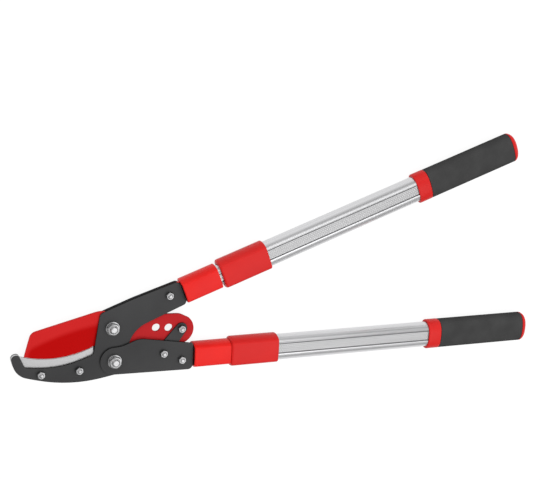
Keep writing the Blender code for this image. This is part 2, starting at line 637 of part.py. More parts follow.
def make_fixed_handle(label, body, frame, half_tang, tang_side, bolt_back, bolt_side):
    """A red socket with its tang between the plates, and the inner tube pressed into it."""
    start, end = SOCKET_START, SOCKET_START + SOCKET_LENGTH
    bore = stadium(INNER_LOBE_RADIUS + GAP)
    stations = rounded_sides(creased, SOCKET_HALF_WIDTH, SOCKET_HALF_DEPTH, start, end,
                             SOCKET_RIM, GRIP_RIM)
    stations += [(end, bore), (start + SOCKET_BASE, bore)]
    mesh = loft(label + "_socket", stations, False)
    socket = add_node(label + "_socket", mesh, RED_PLASTIC, body, frame)
    tip = start - TANG_LENGTH
    tang = rounded([(tip, -TANG_SIDE, TANG_CORNER), (start + SOCKET_BASE / 2, -TANG_SIDE),
                    (start + SOCKET_BASE / 2, tang_side), (tip, tang_side, TANG_CORNER)])
    bolt_hole = circle((start - bolt_back, bolt_side), SMALL_BOLT_RADIUS + GAP)
    modify(socket, flat_mesh(label + "_tang", tang, [bolt_hole], -half_tang, half_tang), frame, "UNION")
    spot = on_handle(frame, start - bolt_back, bolt_side)
    add_small_bolt(label + "_socket", half_tang + GAP + PLATE_THICKNESS, body, spot)

    tube = add_node(label + "_inner_tube",
                    tube_mesh(label + "_inner_tube", INNER_LOBE_RADIUS, start + SOCKET_BASE + GAP,
                              INNER_TUBE_END), BARE_ALUMINIUM, body, frame)
    nib = COLLAR_HOME + LOCK_PIVOT - (LOCK_NIB_NEAR + LOCK_NIB_FAR) / 2
    for i in range(1, LOCK_STATIONS + 1):
        along = nib + SLIDE_TRAVEL * i / LOCK_STATIONS
        slot = box_mesh("%s_slot_%d" % (label, i),
                        (along - SLOT_HALF_LENGTH, -SLOT_HALF_WIDTH, -INNER_LOBE_RADIUS),
                        (along + SLOT_HALF_LENGTH, SLOT_HALF_WIDTH, -INNER_LOBE_RADIUS + 3 * TUBE_WALL))
        modify(tube, slot, frame, "DIFFERENCE")

    plug = stadium(INNER_LOBE_RADIUS - PANEL_SINK - TUBE_WALL - GAP)
    flange = stadium(INNER_LOBE_RADIUS + GAP + BUSH_CATCH, OUTER_LOBE_RADIUS - PANEL_SINK - TUBE_WALL - GAP)
    seat = INNER_TUBE_END + GAP
    bush = loft(label + "_end_bush", [(INNER_TUBE_END - BUSH_PLUG, plug), (seat, plug), (seat, flange),
                                      (seat + BUSH_FLANGE, flange)], False)
    add_node(label + "_end_bush", bush, DARK_NYLON, body, frame)


def make_slider(label, slider, rocker, frame, front):
    """Collar, outer tube, ring, grip and cap, which slide together along the inner tube."""
    back = front + COLLAR_LENGTH
    seat = back - COLLAR_SEAT
    ring_start = back + VISIBLE_TUBE
    grip_start = ring_start + RING_LENGTH + GAP
    grip_end = grip_start + GRIP_LENGTH
    wide_bore = stadium(OUTER_LOBE_RADIUS + GAP)
    narrow_bore = stadium(INNER_LOBE_RADIUS + GAP)

    stations = rounded_sides(creased, COLLAR_HALF_WIDTH, HALF_DEPTH, front, back,
                             COLLAR_FRONT_RIM, COLLAR_BACK_RIM)
    stations += [(back, wide_bore), (seat, wide_bore), (seat, narrow_bore), (front, narrow_bore)]
    mesh = loft(label + "_collar", stations, True)
    collar = add_node(label + "_collar", mesh, RED_PLASTIC, slider, frame)
    make_lock(label, slider, rocker, frame, front, collar)

    tube = tube_mesh(label + "_outer_tube", OUTER_LOBE_RADIUS, seat + GAP, grip_end)
    add_node(label + "_outer_tube", tube, BARE_ALUMINIUM, slider, frame)
    stations = rounded_sides(oval, RING_HALF_WIDTH, HALF_DEPTH, ring_start, ring_start + RING_LENGTH,
                             RING_RIM, RING_RIM)
    stations += [(ring_start + RING_LENGTH, wide_bore), (ring_start, wide_bore)]
    add_node(label + "_ring", loft(label + "_ring", stations, True), RED_PLASTIC, slider, frame)
    stations = rounded_sides(oval, GRIP_HALF_WIDTH, GRIP_HALF_DEPTH, grip_start, grip_end,
                             GRIP_RIM, GRIP_RIM)
    stations += [(grip_end, wide_bore), (grip_start, wide_bore)]
    add_node(label + "_grip", loft(label + "_grip", stations, True), SOFT_GRIP, slider, frame)

    base = grip_end + GAP
    plug = stadium(OUTER_LOBE_RADIUS - PANEL_SINK - TUBE_WALL - GAP)
    stations = [(grip_end - CAP_PLUG, plug), (base, plug)]
    for angle in (0, 20, 42, 64, 81):
        shrink = cos(radians(angle)) ** 0.8
        stations.append((base + CAP_HEIGHT * sin(radians(angle)),
                         oval(GRIP_HALF_WIDTH * shrink, GRIP_HALF_DEPTH * shrink)))
    add_node(label + "_end_cap", loft(label + "_end_cap", stations, False), RED_PLASTIC, slider, frame)


def make_lock(label, slider, rocker, frame, front, collar):
    """Rocker in a window of the collar's back, with its pin and leaf spring."""
    side = LOCK_HALF_WIDTH + GAP
    open_end = LOCK_ARM + GAP
    outside = -HALF_DEPTH - 1
    through = 3.3
    pivot = shift(front + LOCK_PIVOT, 0.0, 0.0)
    hole = circle((0.0, -LOCK_PIVOT_DEPTH), LOCK_PIN_RADIUS + GAP, 12)
    pocket = box_mesh(label + "_pocket", (-open_end, -side, outside), (open_end, side, -LOCK_POCKET_FLOOR))
    inside = -INNER_LOBE_RADIUS + 1
    window = box_mesh(label + "_window", (-open_end, -side, outside), (through, side, inside))
    bore = run_across(flat_mesh(label + "_pin_bore", hole, [], -LOCK_PIN_HALF_LENGTH - GAP,
                                LOCK_PIN_HALF_LENGTH + GAP))
    for tool in (pocket, window, bore):
        modify(collar, tool, frame, "DIFFERENCE", pivot)

    pad = -HALF_DEPTH + LOCK_RECESS
    thin = pad + 1.5
    nib_tip = -INNER_LOBE_RADIUS + PANEL_SINK - GAP
    inner = -INNER_LOBE_RADIUS - PANEL_SINK
    ridges = []
    for i in range(3):
        middle = LOCK_ARM - 1.6 - 1.6 * i
        ridges += [(middle + 0.5, pad), (middle, pad + 0.5), (middle - 0.5, pad)]
    profile = [(-LOCK_ARM, thin), (0.0, pad)] + ridges[::-1] + [
        (LOCK_ARM, pad), (LOCK_ARM, thin), (3.6, thin + 0.9), (2.6, inner), (-LOCK_NIB_NEAR, inner),
        (-LOCK_NIB_NEAR, nib_tip), (-LOCK_NIB_FAR, nib_tip), (-LOCK_NIB_FAR, inner), (-LOCK_ARM, inner)]
    mesh = run_across(flat_mesh(label + "_lock", profile, [hole], -LOCK_HALF_WIDTH, LOCK_HALF_WIDTH))
    add_node(label + "_lock", mesh, RED_PLASTIC, rocker, frame, pivot)

    pin = run_across(flat_mesh(label + "_lock_pin", circle((0, -LOCK_PIVOT_DEPTH), LOCK_PIN_RADIUS, 12), [],
                               -LOCK_PIN_HALF_LENGTH, LOCK_PIN_HALF_LENGTH))
    add_node(label + "_lock_pin", pin, BRIGHT_STEEL, slider, frame, pivot)
    foot = -LOCK_POCKET_FLOOR - GAP
    leaf = [(4.4, foot), (6.4, foot), (9.8, foot - 0.75), (9.8, foot - 0.75 - LOCK_SPRING_THICKNESS),
            (6.3, foot - LOCK_SPRING_THICKNESS), (4.4, foot - LOCK_SPRING_THICKNESS)]
    spring = run_across(flat_mesh(label + "_lock_spring", leaf[::-1], [], -LOCK_SPRING_HALF_WIDTH,
                                  LOCK_SPRING_HALF_WIDTH))
    add_node(label + "_lock_spring", spring, BRIGHT_STEEL, slider, frame, pivot)


def rocker_body(label, slider, frame, front):
    """Empty on a rocker's pivot, turned so that its own Y is the pin's axis."""
    return new_body(label + "_lock_axis", frame @ shift(front + LOCK_PIVOT, 0.0, -LOCK_PIVOT_DEPTH), slider)


def build():
    body = new_body("body", HEAD)
    lower_handle = new_body("lower_handle", HEAD @ shift(*HANDLE_PIVOT))
    blade = new_body("blade_axis", HEAD @ shift(*BLADE_PIVOT))
    link = new_body("link_axis", HEAD @ shift(*LINK_PIVOT), lower_handle)
    upper_front = COLLAR_HOME + UPPER_DRAWN_OUT
    lower_front = COLLAR_HOME
    upper_slider = new_body("upper_slider", UPPER @ shift(upper_front, 0.0), body)
    lower_slider = new_body("lower_slider", LOWER @ shift(lower_front, 0.0), lower_handle)
    upper_rocker = rocker_body("upper", upper_slider, UPPER, upper_front)
    lower_rocker = rocker_body("lower", lower_slider, LOWER, lower_front)

    make_plates(body, lower_handle)
    make_anvil(body)
    make_pivots(body)
    tail_hole = make_blade(blade)
    make_links(link, lower_handle, tail_hole)
    make_fixed_handle("upper", body, UPPER, BODY_LOW - GAP, TANG_SIDE, UPPER_BOLT_BACK, UPPER_BOLT_SIDE)
    make_fixed_handle("lower", lower_handle, LOWER, HANDLE_LOW - GAP, LOWER_TANG_SIDE,
                      LOWER_BOLT_BACK, LOWER_BOLT_SIDE)
    make_slider("upper", upper_slider, upper_rocker, UPPER, upper_front)
    make_slider("lower", lower_slider, lower_rocker, LOWER, lower_front)


build()
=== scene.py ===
# %% [markdown]
# # A telescopic anvil lopper
#
# The lopper lies flat on a pale floor with its jaw shut, seen from the side where its nuts are.
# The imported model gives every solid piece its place. This file dresses those pieces: it breaks their
# edges, rounds the sleeves more finely, swaps the plain bolts and nuts for detailed ones, and gives
# each piece a material that is built from nodes.

import json
from functools import partial
from math import asin, atan2, cos, degrees, pi, radians, sin, tan

import bmesh
import bpy
from mathutils import Matrix, Vector

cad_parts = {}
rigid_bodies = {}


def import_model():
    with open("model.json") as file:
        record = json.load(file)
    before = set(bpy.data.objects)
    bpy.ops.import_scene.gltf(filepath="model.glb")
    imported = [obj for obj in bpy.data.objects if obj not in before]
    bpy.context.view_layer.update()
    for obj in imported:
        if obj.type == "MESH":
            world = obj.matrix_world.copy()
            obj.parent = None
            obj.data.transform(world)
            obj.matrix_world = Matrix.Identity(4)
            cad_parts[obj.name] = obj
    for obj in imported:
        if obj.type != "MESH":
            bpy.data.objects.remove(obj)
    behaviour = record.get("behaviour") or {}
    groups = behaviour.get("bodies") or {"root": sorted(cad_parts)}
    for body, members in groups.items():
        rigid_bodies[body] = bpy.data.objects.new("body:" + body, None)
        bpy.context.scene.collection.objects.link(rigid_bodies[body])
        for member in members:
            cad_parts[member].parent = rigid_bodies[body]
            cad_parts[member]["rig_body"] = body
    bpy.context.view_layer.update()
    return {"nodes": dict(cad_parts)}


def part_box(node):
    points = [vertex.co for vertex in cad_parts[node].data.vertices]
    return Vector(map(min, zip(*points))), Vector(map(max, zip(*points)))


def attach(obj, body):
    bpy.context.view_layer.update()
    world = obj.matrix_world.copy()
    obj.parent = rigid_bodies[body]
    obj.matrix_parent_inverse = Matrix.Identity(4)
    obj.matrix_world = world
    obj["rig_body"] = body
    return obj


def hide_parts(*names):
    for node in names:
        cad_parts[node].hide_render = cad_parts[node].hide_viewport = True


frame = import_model()
MM = 0.001
HALF_DEPTH = 13.0  # height of the lopper's middle plane, in millimetres
GAP = 0.3  # clearance between pieces, in millimetres
print("nodes:", len(frame["nodes"]))

# %% [markdown]
# ## The camera
#
# The photograph was taken a little from the left and from above the handles, with a long lens. The
# camera's own axes are given as directions, so that its slight roll comes out right as well.

# %% Camera
CAMERA_TARGET = Vector((0.20454, 0.09692, 0.013))
CAMERA_DIRECTION = Vector((-0.28971, 0.35200, 0.89003)).normalized()
CAMERA_RIGHT = Vector((0.93009, -0.11585, 0.34857)).normalized()
CAMERA_DISTANCE = 1.602
CAMERA_LENS = 92.07


def add_object(name, data):
    made = bpy.data.objects.new(name, data)
    bpy.context.scene.collection.objects.link(made)
    return made


def make_camera():
    data = bpy.data.cameras.new("camera")
    data.lens = CAMERA_LENS
    data.sensor_width = 36.0
    data.sensor_fit = "HORIZONTAL"
    data.clip_end = 50.0
    camera = add_object("camera", data)
    up = CAMERA_DIRECTION.cross(CAMERA_RIGHT)
    axes = Matrix((CAMERA_RIGHT, up, CAMERA_DIRECTION)).transposed().to_4x4()
    camera.matrix_world = Matrix.Translation(CAMERA_TARGET + CAMERA_DIRECTION * CAMERA_DISTANCE) @ axes
    bpy.context.scene.camera = camera
    return camera


print("camera at", [round(value, 3) for value in make_camera().matrix_world.translation])

# %% [markdown]
# ## Node helpers
#
# A material here is a handful of nodes round one Principled shader. Written out in full, each node
# takes five or six lines, so short helpers keep the cells readable: they add a node and fill its
# sockets, start a shader group, do one step of arithmetic, and blend colours.

# %% Adding a node, starting a group


def add_node(tree, kind, inputs=None, **settings):
    """Add a node, set its properties, and fill sockets with values or with other nodes' outputs."""
    made = tree.nodes.new("ShaderNode" + kind)
    for name, value in settings.items():
        setattr(made, name, value)
    for name, value in (inputs or {}).items():
        socket = made.inputs[name]
        if isinstance(value, bpy.types.NodeSocket):
            tree.links.new(value, socket)
        else:
            socket.default_value = value
    return made


def start_group(name, inputs):
    """Shader group that turns coordinates and numbers into a roughness, a height and a tone."""
    group = bpy.data.node_groups.new(name, "ShaderNodeTree")
    sockets = [("Vector", "INPUT", "Vector")]
    sockets += [(label, "INPUT", "Float") for label in (*inputs, "Smooth", "Rough")]
    sockets += [(label, "OUTPUT", "Float") for label in ("Roughness", "Height", "Tone")]
    for label, side, kind in sockets:
        group.interface.new_socket(label, in_out=side, socket_type="NodeSocket" + kind)
    return group, group.nodes.new("NodeGroupInput"), group.nodes.new("NodeGroupOutput")


print("helpers for nodes ready")

# %% Arithmetic with nodes


def arithmetic(tree, operation, *values):
    """One step of arithmetic on numbers and sockets."""
    return add_node(tree, "Math", dict(enumerate(values)), operation=operation).outputs["Value"]


def remap(tree, value, low, high, start=0.0, end=1.0, **settings):
    """Carry a range of values over to another range, and hold it there."""
    return add_node(tree, "MapRange",
                    {"Value": value, "From Min": low, "From Max": high, "To Min": start, "To Max": end},
                    **settings).outputs["Result"]


def soft_step(tree, value, low, high):
    """0 below one value and 1 above the other; the two may be given in falling order."""
    return remap(tree, value, low, high, interpolation_type="SMOOTHSTEP")


print("helpers for arithmetic ready")

# %% Blending two colours
# A colour mix node has sockets for numbers, vectors and colours; these are the ones for colours
MIX_FIRST, MIX_SECOND, MIX_RESULT = 6, 7, 2


def mix_colour(tree, share, first, second):
    """Blend two colours, each given as a value or as a socket."""
    mix = add_node(tree, "Mix", data_type="RGBA")
    for spot, value in (("Factor", share), (MIX_FIRST, first), (MIX_SECOND, second)):
        if isinstance(value, bpy.types.NodeSocket):
            tree.links.new(value, mix.inputs[spot])
        elif spot == "Factor":
            mix.inputs[spot].default_value = value
        else:
            mix.inputs[spot].default_value = (*value, 1.0)
    return mix.outputs[MIX_RESULT]


print("colours blend between sockets", MIX_FIRST, "and", MIX_SECOND)

# %% [markdown]
# ## Surfaces shared by several pieces
#
# Coated steel and moulded plastic both have a faint orange peel: shallow, soft bumps a millimetre or
# so across, with the gloss changing a little from place to place. One group makes it for both. It puts
# out a roughness, a height for a Bump node and a soft mask that each material uses for its own tone.

# %% Group for the orange peel
TONE_LOW, TONE_HIGH = 0.3, 0.7  # a noise texture hardly leaves this range


def end_surface_group(group, start, end, fine, broad):
    """Put out a height, a soft tone, and a roughness that follows the tone."""
    tone = remap(group, broad.outputs["Fac"], TONE_LOW, TONE_HIGH)
    rough = remap(group, tone, 0.0, 1.0, start.outputs["Smooth"], start.outputs["Rough"])
    for socket, value in (("Roughness", rough), ("Height", fine.outputs["Fac"]), ("Tone", tone)):
        group.links.new(value, end.inputs[socket])


def make_peel_group():
    group, start, end = start_group("orange_peel", ("Scale", "Patch Scale"))
    fine, broad = (add_node(group, "TexNoise",
                            {"Vector": start.outputs["Vector"], "Scale": start.outputs[scale],
                             "Detail": detail})
                   for scale, detail in (("Scale", 2.0), ("Patch Scale", 3.0)))
    end_surface_group(group, start, end, fine, broad)
    return group


PEEL = make_peel_group()
print("group:", PEEL.name)

# %% [markdown]
# Extruded tubes have lines that run one way, left by the die. Stretching a noise texture along one
# axis makes them. The second group takes coordinates whose X runs along the piece.

# %% Group for the die lines


def make_lines_group():
    group, start, end = start_group("die_lines", ("Across", "Along"))
    stretch = add_node(group, "CombineXYZ",
                       {"X": start.outputs["Along"], "Y": start.outputs["Across"],
                        "Z": start.outputs["Across"]})
    place = add_node(group, "VectorMath",
                     {0: start.outputs["Vector"], 1: stretch.outputs["Vector"]}, operation="MULTIPLY")
    lines = add_node(group, "TexNoise",
                     {"Vector": place.outputs["Vector"], "Scale": 1.0, "Detail": 3.0})
    end_surface_group(group, start, end, lines, lines)
    return group


LINES = make_lines_group()
print("group:", LINES.name)

# %% [markdown]
# ## Materials
#
# Each material starts the same way: object coordinates, one of the two groups, a mix between two close
# colours, and a bump. The differences are in the numbers, and in what a finish adds of its own.

# %% Common start of a material


def feed(tree, socket, value):
    tree.links.new(value, tree.nodes["Principled BSDF"].inputs[socket])


def fed_by(tree, socket):
    """What feeds one of the shader's sockets now, so that a finish can add more to it."""
    return tree.nodes["Principled BSDF"].inputs[socket].links[0].from_socket


def start_material(name, group, low, high, grain, gloss, bump, place=None, **shader):
    """Material between two colours. Grain has the group's two scales, gloss the smoothest and roughest
    value, and bump a strength and a depth in millimetres."""
    material = bpy.data.materials.new(name)
    material.use_nodes = True
    tree = material.node_tree
    principled = tree.nodes["Principled BSDF"]
    for socket, value in shader.items():
        principled.inputs[socket.replace("_", " ")].default_value = value
    vector = add_node(tree, "TexCoord").outputs["Object"]
    if place:
        spot, lean = place
        vector = add_node(tree, "Mapping",
                          {"Vector": vector, "Location": spot, "Rotation": (0.0, 0.0, lean)},
                          vector_type="TEXTURE").outputs["Vector"]
    surface = add_node(tree, "Group", node_tree=group)
    tree.links.new(vector, surface.inputs["Vector"])
    for spot, value in enumerate((*grain, *gloss), 1):
        surface.inputs[spot].default_value = value
    dent = add_node(tree, "Bump", {"Height": surface.outputs["Height"], "Strength": bump[0],
                                   "Distance": bump[1] * MM})
    feed(tree, "Base Color", mix_colour(tree, surface.outputs["Tone"], low, high))
    feed(tree, "Roughness", surface.outputs["Roughness"])
    feed(tree, "Normal", dent.outputs["Normal"])
    return material


print("start of a material ready")

# %% [markdown]
# The plates are powder coated, their walls are duller and are painted darker, as painted shade, and the
# sleeves are moulded. One colour and one roughness would look like a toy's, so each has two close tones
# and a faint peel.

# %% Coated steel, moulded plastic and nylon
BLACK_STEEL = start_material(
    "black_powder_coat", PEEL, (0.022, 0.022, 0.023), (0.042, 0.042, 0.043),
    grain=(1400.0, 12.0), gloss=(0.42, 0.52), bump=(0.12, 0.1),
    Specular_IOR_Level=0.26)
# The plates' walls: duller, and painted darker as painted shade
SHADED_WALL_STEEL = start_material(
    "plate_walls_painted_shade", PEEL, (0.006, 0.006, 0.006), (0.012, 0.012, 0.012),
    grain=(1800.0, 120.0), gloss=(0.6, 0.75), bump=(0.2, 0.1),
    Specular_IOR_Level=0.04)
SOCKET_RED = start_material(
    "moulded_red_socket", PEEL, (0.71, 0.010, 0.008), (0.77, 0.014, 0.010),
    grain=(1600.0, 25.0), gloss=(0.32, 0.4), bump=(0.08, 0.08),
    Specular_IOR_Level=0.16)
SLEEVE_RED = start_material(
    "moulded_red_sleeve", PEEL, (0.59, 0.012, 0.011), (0.65, 0.018, 0.016),
    grain=(1600.0, 25.0), gloss=(0.34, 0.44), bump=(0.1, 0.08),
    Specular_IOR_Level=0.15)
# Dark nylon for the bushes; the sockets' sunk end faces get it too, as painted shade
DARK_NYLON_AND_SHADE = start_material(
    "dark_nylon", PEEL, (0.010, 0.010, 0.010), (0.016, 0.016, 0.016),
    grain=(1500.0, 60.0), gloss=(0.5, 0.65), bump=(0.1, 0.08),
    Specular_IOR_Level=0.2)
print("coats and plastics:", len(bpy.data.materials))

# %% [markdown]
# The blade has a red non-stick coat over its ground steel. Below a shallow arch towards the edge, the
# coat is painted darker, as painted shade. A parabola in X and Y gives the arch, and a slanted line keeps
# the painted shade off the tip's own edge. The tail is painted duller and darker, as painted shade.

# %% Blade coat
MIDDLE = HALF_DEPTH * MM
BLADE_HALF = 1.5 * MM
ARCH_BEND, ARCH_SLOPE = 2.015, 0.093  # the arch is Y = height - slope * X - bend * X * X, in metres
# Where the painted shade below the arch begins and where it is full, in metres
ARCH_SHADE_START, ARCH_SHADE_FULL = 50.0 * MM, 42.0 * MM
TIP_ACROSS = (0.903, -0.429, 0.0)  # square to the edge at the tip, into the blade
TIP_START, TIP_FULL = -101.5 * MM, -95.0 * MM
TAIL_START, TAIL_FULL = 14.0 * MM, 26.0 * MM
# Colours of painted shade: below the arch, and on the tail
PAINTED_ARCH_SHADE, PAINTED_TAIL_SHADE = (0.45, 0.001, 0.001), (0.45, 0.017, 0.020)


def make_blade_coat():
    coat = start_material(
        "red_blade_coat", PEEL, (0.53, 0.014, 0.014), (0.59, 0.018, 0.018),
        grain=(1100.0, 14.0), gloss=(0.42, 0.52), bump=(0.06, 0.1),
        Specular_IOR_Level=0.04)
    tree = coat.node_tree
    place = tree.nodes["Texture Coordinate"].outputs["Object"]
    parts = add_node(tree, "SeparateXYZ", {"Vector": place})
    slope = arithmetic(tree, "MULTIPLY_ADD", parts.outputs["X"], ARCH_BEND, ARCH_SLOPE)
    arch = arithmetic(tree, "MULTIPLY_ADD", parts.outputs["X"], slope, parts.outputs["Y"])
    reach = add_node(tree, "VectorMath", {0: place, 1: TIP_ACROSS}, operation="DOT_PRODUCT")
    # Painted shade below the arch, kept off the tip's edge
    arch_shade = arithmetic(tree, "MULTIPLY", soft_step(tree, arch, ARCH_SHADE_START, ARCH_SHADE_FULL),
                        soft_step(tree, reach.outputs["Value"], TIP_START, TIP_FULL))
    # Painted shade on the tail
    tail = soft_step(tree, parts.outputs["X"], TAIL_START, TAIL_FULL)
    colour = mix_colour(tree, arch_shade, fed_by(tree, "Base Color"), PAINTED_ARCH_SHADE)
    feed(tree, "Base Color", mix_colour(tree, tail, colour, PAINTED_TAIL_SHADE))
    return coat


RED_COAT = make_blade_coat()
print("blade coat:", RED_COAT.name)

# %% [markdown]
# The grips are closed-cell foam: matte, very dark, with a grain of small cells. Noise alone would look
# like rubber. A Voronoi texture has the cells' shape, so its bump is laid over the common one.

# %% Foam grip


def make_foam():
    foam = start_material(
        "foam_grip", PEEL, (0.048, 0.048, 0.048), (0.060, 0.060, 0.060),
        grain=(2200.0, 45.0), gloss=(0.7, 0.85), bump=(0.35, 0.15),
        Specular_IOR_Level=0.0)
    tree = foam.node_tree
    cells = add_node(tree, "TexVoronoi",
                     {"Vector": tree.nodes["Texture Coordinate"].outputs["Object"], "Scale": 1300.0})
    pores = add_node(tree, "Bump",
                     {"Height": cells.outputs["Distance"], "Strength": 0.4, "Distance": 0.0002,
                      "Normal": tree.nodes["Bump"].outputs["Normal"]}, name="pores")
    feed(tree, "Normal", pores.outputs["Normal"])
    return foam


FOAM = make_foam()
print("grips:", FOAM.name)

# %% [markdown]
# The tubes are extruded aluminium. Their die lines run along the handle, so the coordinates are turned
# to each handle first. The sunk panel on the front and back is duller and has a fine diagonal knurl. As
# geometry it would take millions of faces, so two crossed wave textures make it, kept to the panel by a
# mask on the distance from its middle. The grooves beside the panel are painted darker, as painted
# shade.

# %% Extruded aluminium
UPPER_AXIS = Vector((0.0, 44.6, HALF_DEPTH)) * MM
LOWER_AXIS = Vector((0.0, -2.0, HALF_DEPTH)) * MM
HANDLE_LEAN = radians(10.4)
# Where the panels' grooves run, as (offset of the front panel, half width), for each tube
OUTER_PANEL, INNER_PANEL = (1.7, 5.8), (-1.4, 4.8)
# The knurl's colour in its valleys, and its strength
OUTER_KNURL, INNER_KNURL = ((0.43, 0.43, 0.435), 0.8), ((0.62, 0.62, 0.625), 0.3)
GROOVE_WIDTH = 1.3
WAVE_TO_PERIOD = 0.314  # a wave texture's scale times its period in metres
KNURL_PERIOD = 2.5 * MM
KNURL_ANGLE = 35.0
FADE = 0.1 * MM  # the masks' borders are a few of these wide
KNURL_TOP, KNURL_DEPTH = (0.70, 0.70, 0.705), 0.2 * MM
# Painted shade in the panels' grooves
PAINTED_GROOVE_SHADE = (0.30, 0.30, 0.305)
PANEL_DULLNESS = 0.2  # added to the roughness on the panels


def make_tube_aluminium(name, place, panel_offset, groove, valley, knurl_strength):
    metal = start_material(
        name, LINES, (0.58, 0.58, 0.59), (0.70, 0.70, 0.71),
        grain=(1400.0, 5.0), gloss=(0.24, 0.36), bump=(0.12, 0.1), place=place,
        Metallic=1.0)
    tree = metal.node_tree
    vector = tree.nodes["Mapping"].outputs["Vector"]
    parts = add_node(tree, "SeparateXYZ", {"Vector": vector})
    offset = remap(tree, parts.outputs["Z"], -MM, MM, 0.0, panel_offset * MM)
    distance = arithmetic(tree, "ABSOLUTE", arithmetic(tree, "SUBTRACT", parts.outputs["Y"], offset))
    lip, reach = (groove - GROOVE_WIDTH / 2) * MM, (groove + GROOVE_WIDTH / 2) * MM
    mask = soft_step(tree, distance, lip, lip - 2 * FADE)
    # Painted shade: mask for the darker grooves beside the panel
    groove_shade = arithmetic(tree, "MULTIPLY", soft_step(tree, distance, lip - FADE, lip + 3 * FADE),
                       soft_step(tree, distance, reach + FADE, reach - 3 * FADE))
    waves = []
    for side in (1, -1):
        crossed = add_node(tree, "Mapping",
                           {"Vector": vector, "Rotation": (0.0, 0.0, side * radians(KNURL_ANGLE))})
        wave = add_node(tree, "TexWave",
                        {"Vector": crossed.outputs["Vector"], "Scale": WAVE_TO_PERIOD / KNURL_PERIOD},
                        bands_direction="X")
        waves.append(wave.outputs["Fac"])
    height = arithmetic(tree, "MULTIPLY", *waves)
    knurl = add_node(tree, "Bump",
                     {"Height": arithmetic(tree, "MULTIPLY", height, mask), "Strength": knurl_strength,
                      "Distance": KNURL_DEPTH, "Normal": tree.nodes["Bump"].outputs["Normal"]},
                     name="knurl")
    feed(tree, "Normal", knurl.outputs["Normal"])
    panel = mix_colour(tree, height, valley, KNURL_TOP)
    colour = mix_colour(tree, mask, fed_by(tree, "Base Color"), panel)
    feed(tree, "Base Color", mix_colour(tree, groove_shade, colour, PAINTED_GROOVE_SHADE))
    dulled = arithmetic(tree, "MULTIPLY", mask, PANEL_DULLNESS)
    feed(tree, "Roughness", arithmetic(tree, "ADD", fed_by(tree, "Roughness"), dulled))
    return metal


TUBE_METALS = {}
for side, place in (("upper", (UPPER_AXIS, HANDLE_LEAN)), ("lower", (LOWER_AXIS, -HANDLE_LEAN))):
    for tube, details in (("outer", OUTER_PANEL + OUTER_KNURL), ("inner", INNER_PANEL + INNER_KNURL)):
        name = "%s_%s_aluminium" % (side, tube)
        TUBE_METALS[side, tube] = make_tube_aluminium(name, place, *details)
print("tube materials:", len(TUBE_METALS))

# %% [markdown]
# The anvil is a bare bar with a fine, mottled grain. Bolts, nuts, pins and springs are zinc plated:
# bright, with small patches that mirror the light tent unevenly. One even metal would show the tent as
# a flat grey, so both vary in colour and in gloss.

# %% Anvil and fasteners
CAST_ALUMINIUM = start_material(
    "anvil_aluminium", PEEL, (0.50, 0.50, 0.505), (0.60, 0.60, 0.605),
    grain=(1500.0, 420.0), gloss=(0.45, 0.6), bump=(0.25, 0.1), Metallic=1.0)
ZINC = start_material(
    "bright_zinc", PEEL, (0.28, 0.28, 0.285), (0.46, 0.46, 0.465),
    grain=(2500.0, 260.0), gloss=(0.15, 0.3), bump=(0.08, 0.05), Metallic=1.0)
print("materials:", len(bpy.data.materials))

# %% [markdown]
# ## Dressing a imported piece
#
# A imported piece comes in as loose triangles, which a bevel can't follow. So a copy of it is welded and
# its flat faces are made whole again, which leaves real edges. Broken edges catch the light, and only
# edges that turn by more than a limit stay sharp in the shading. Extruding leaves the order of points
# and faces to chance, so they are put in order, and each run gives the same meshes. Each finished piece
# rides on the body of the node that it stands for.

# %% Helpers for a dressed copy
WELD = 2e-6
FLAT_TURN, CORNER_TURN = radians(0.4), radians(60)
SMALLEST_TURN, LARGEST_TURN = radians(1.5), radians(26)  # corners of an arc made of short chords
LEVEL = 0.01 * MM  # heights closer than this are the same
BROKEN_SHARP, SMOOTH_SHARP, FINE_SHARP = 50.0, 40.0, 28.0  # where shading turns sharp, in degrees


def welded_copy(node):
    bm = bmesh.new()
    bm.from_mesh(frame["nodes"][node].data)
    bmesh.ops.remove_doubles(bm, verts=bm.verts, dist=WELD)
    bmesh.ops.dissolve_limit(bm, angle_limit=FLAT_TURN, verts=bm.verts, edges=bm.edges)
    return bm


def turns_between(edge, low, high=2 * pi):
    return len(edge.link_faces) == 2 and low < edge.calc_face_angle() < high


def break_edges(bm, edges, amount, kind="OFFSET", clamp=True):
    """Bevel edges in two steps, by a distance or by a percentage of the edges beside them."""
    bmesh.ops.bevel(bm, geom=edges, offset=amount, offset_type=kind, segments=2, profile=0.5,
                    affect="EDGES", clamp_overlap=clamp, material=-1)


def extrude(bm, edges):
    """Extrude closed loops of edges, and give the new points and the new loops."""
    made = bmesh.ops.extrude_edge_only(bm, edges=edges)["geom"]
    return ([item for item in made if isinstance(item, bmesh.types.BMVert)],
            [item for item in made if isinstance(item, bmesh.types.BMEdge) and item.is_boundary])


print("helpers for copies ready")

# %% Finishing a piece


def put_in_order(items, rule):
    ranks = {item: rank for rank, item in enumerate(sorted(items, key=rule))}
    items.sort(key=ranks.get)
    items.index_update()


def as_object(name, bm):
    """Turn a bmesh into an object, with its points, edges and faces in order of their places."""
    put_in_order(bm.verts, lambda vert: tuple(vert.co))
    for items in (bm.edges, bm.faces):
        put_in_order(items, lambda item: sorted(vert.index for vert in item.verts))
    mesh = bpy.data.meshes.new(name)
    bm.to_mesh(mesh)
    bm.free()
    return add_object(name, mesh)


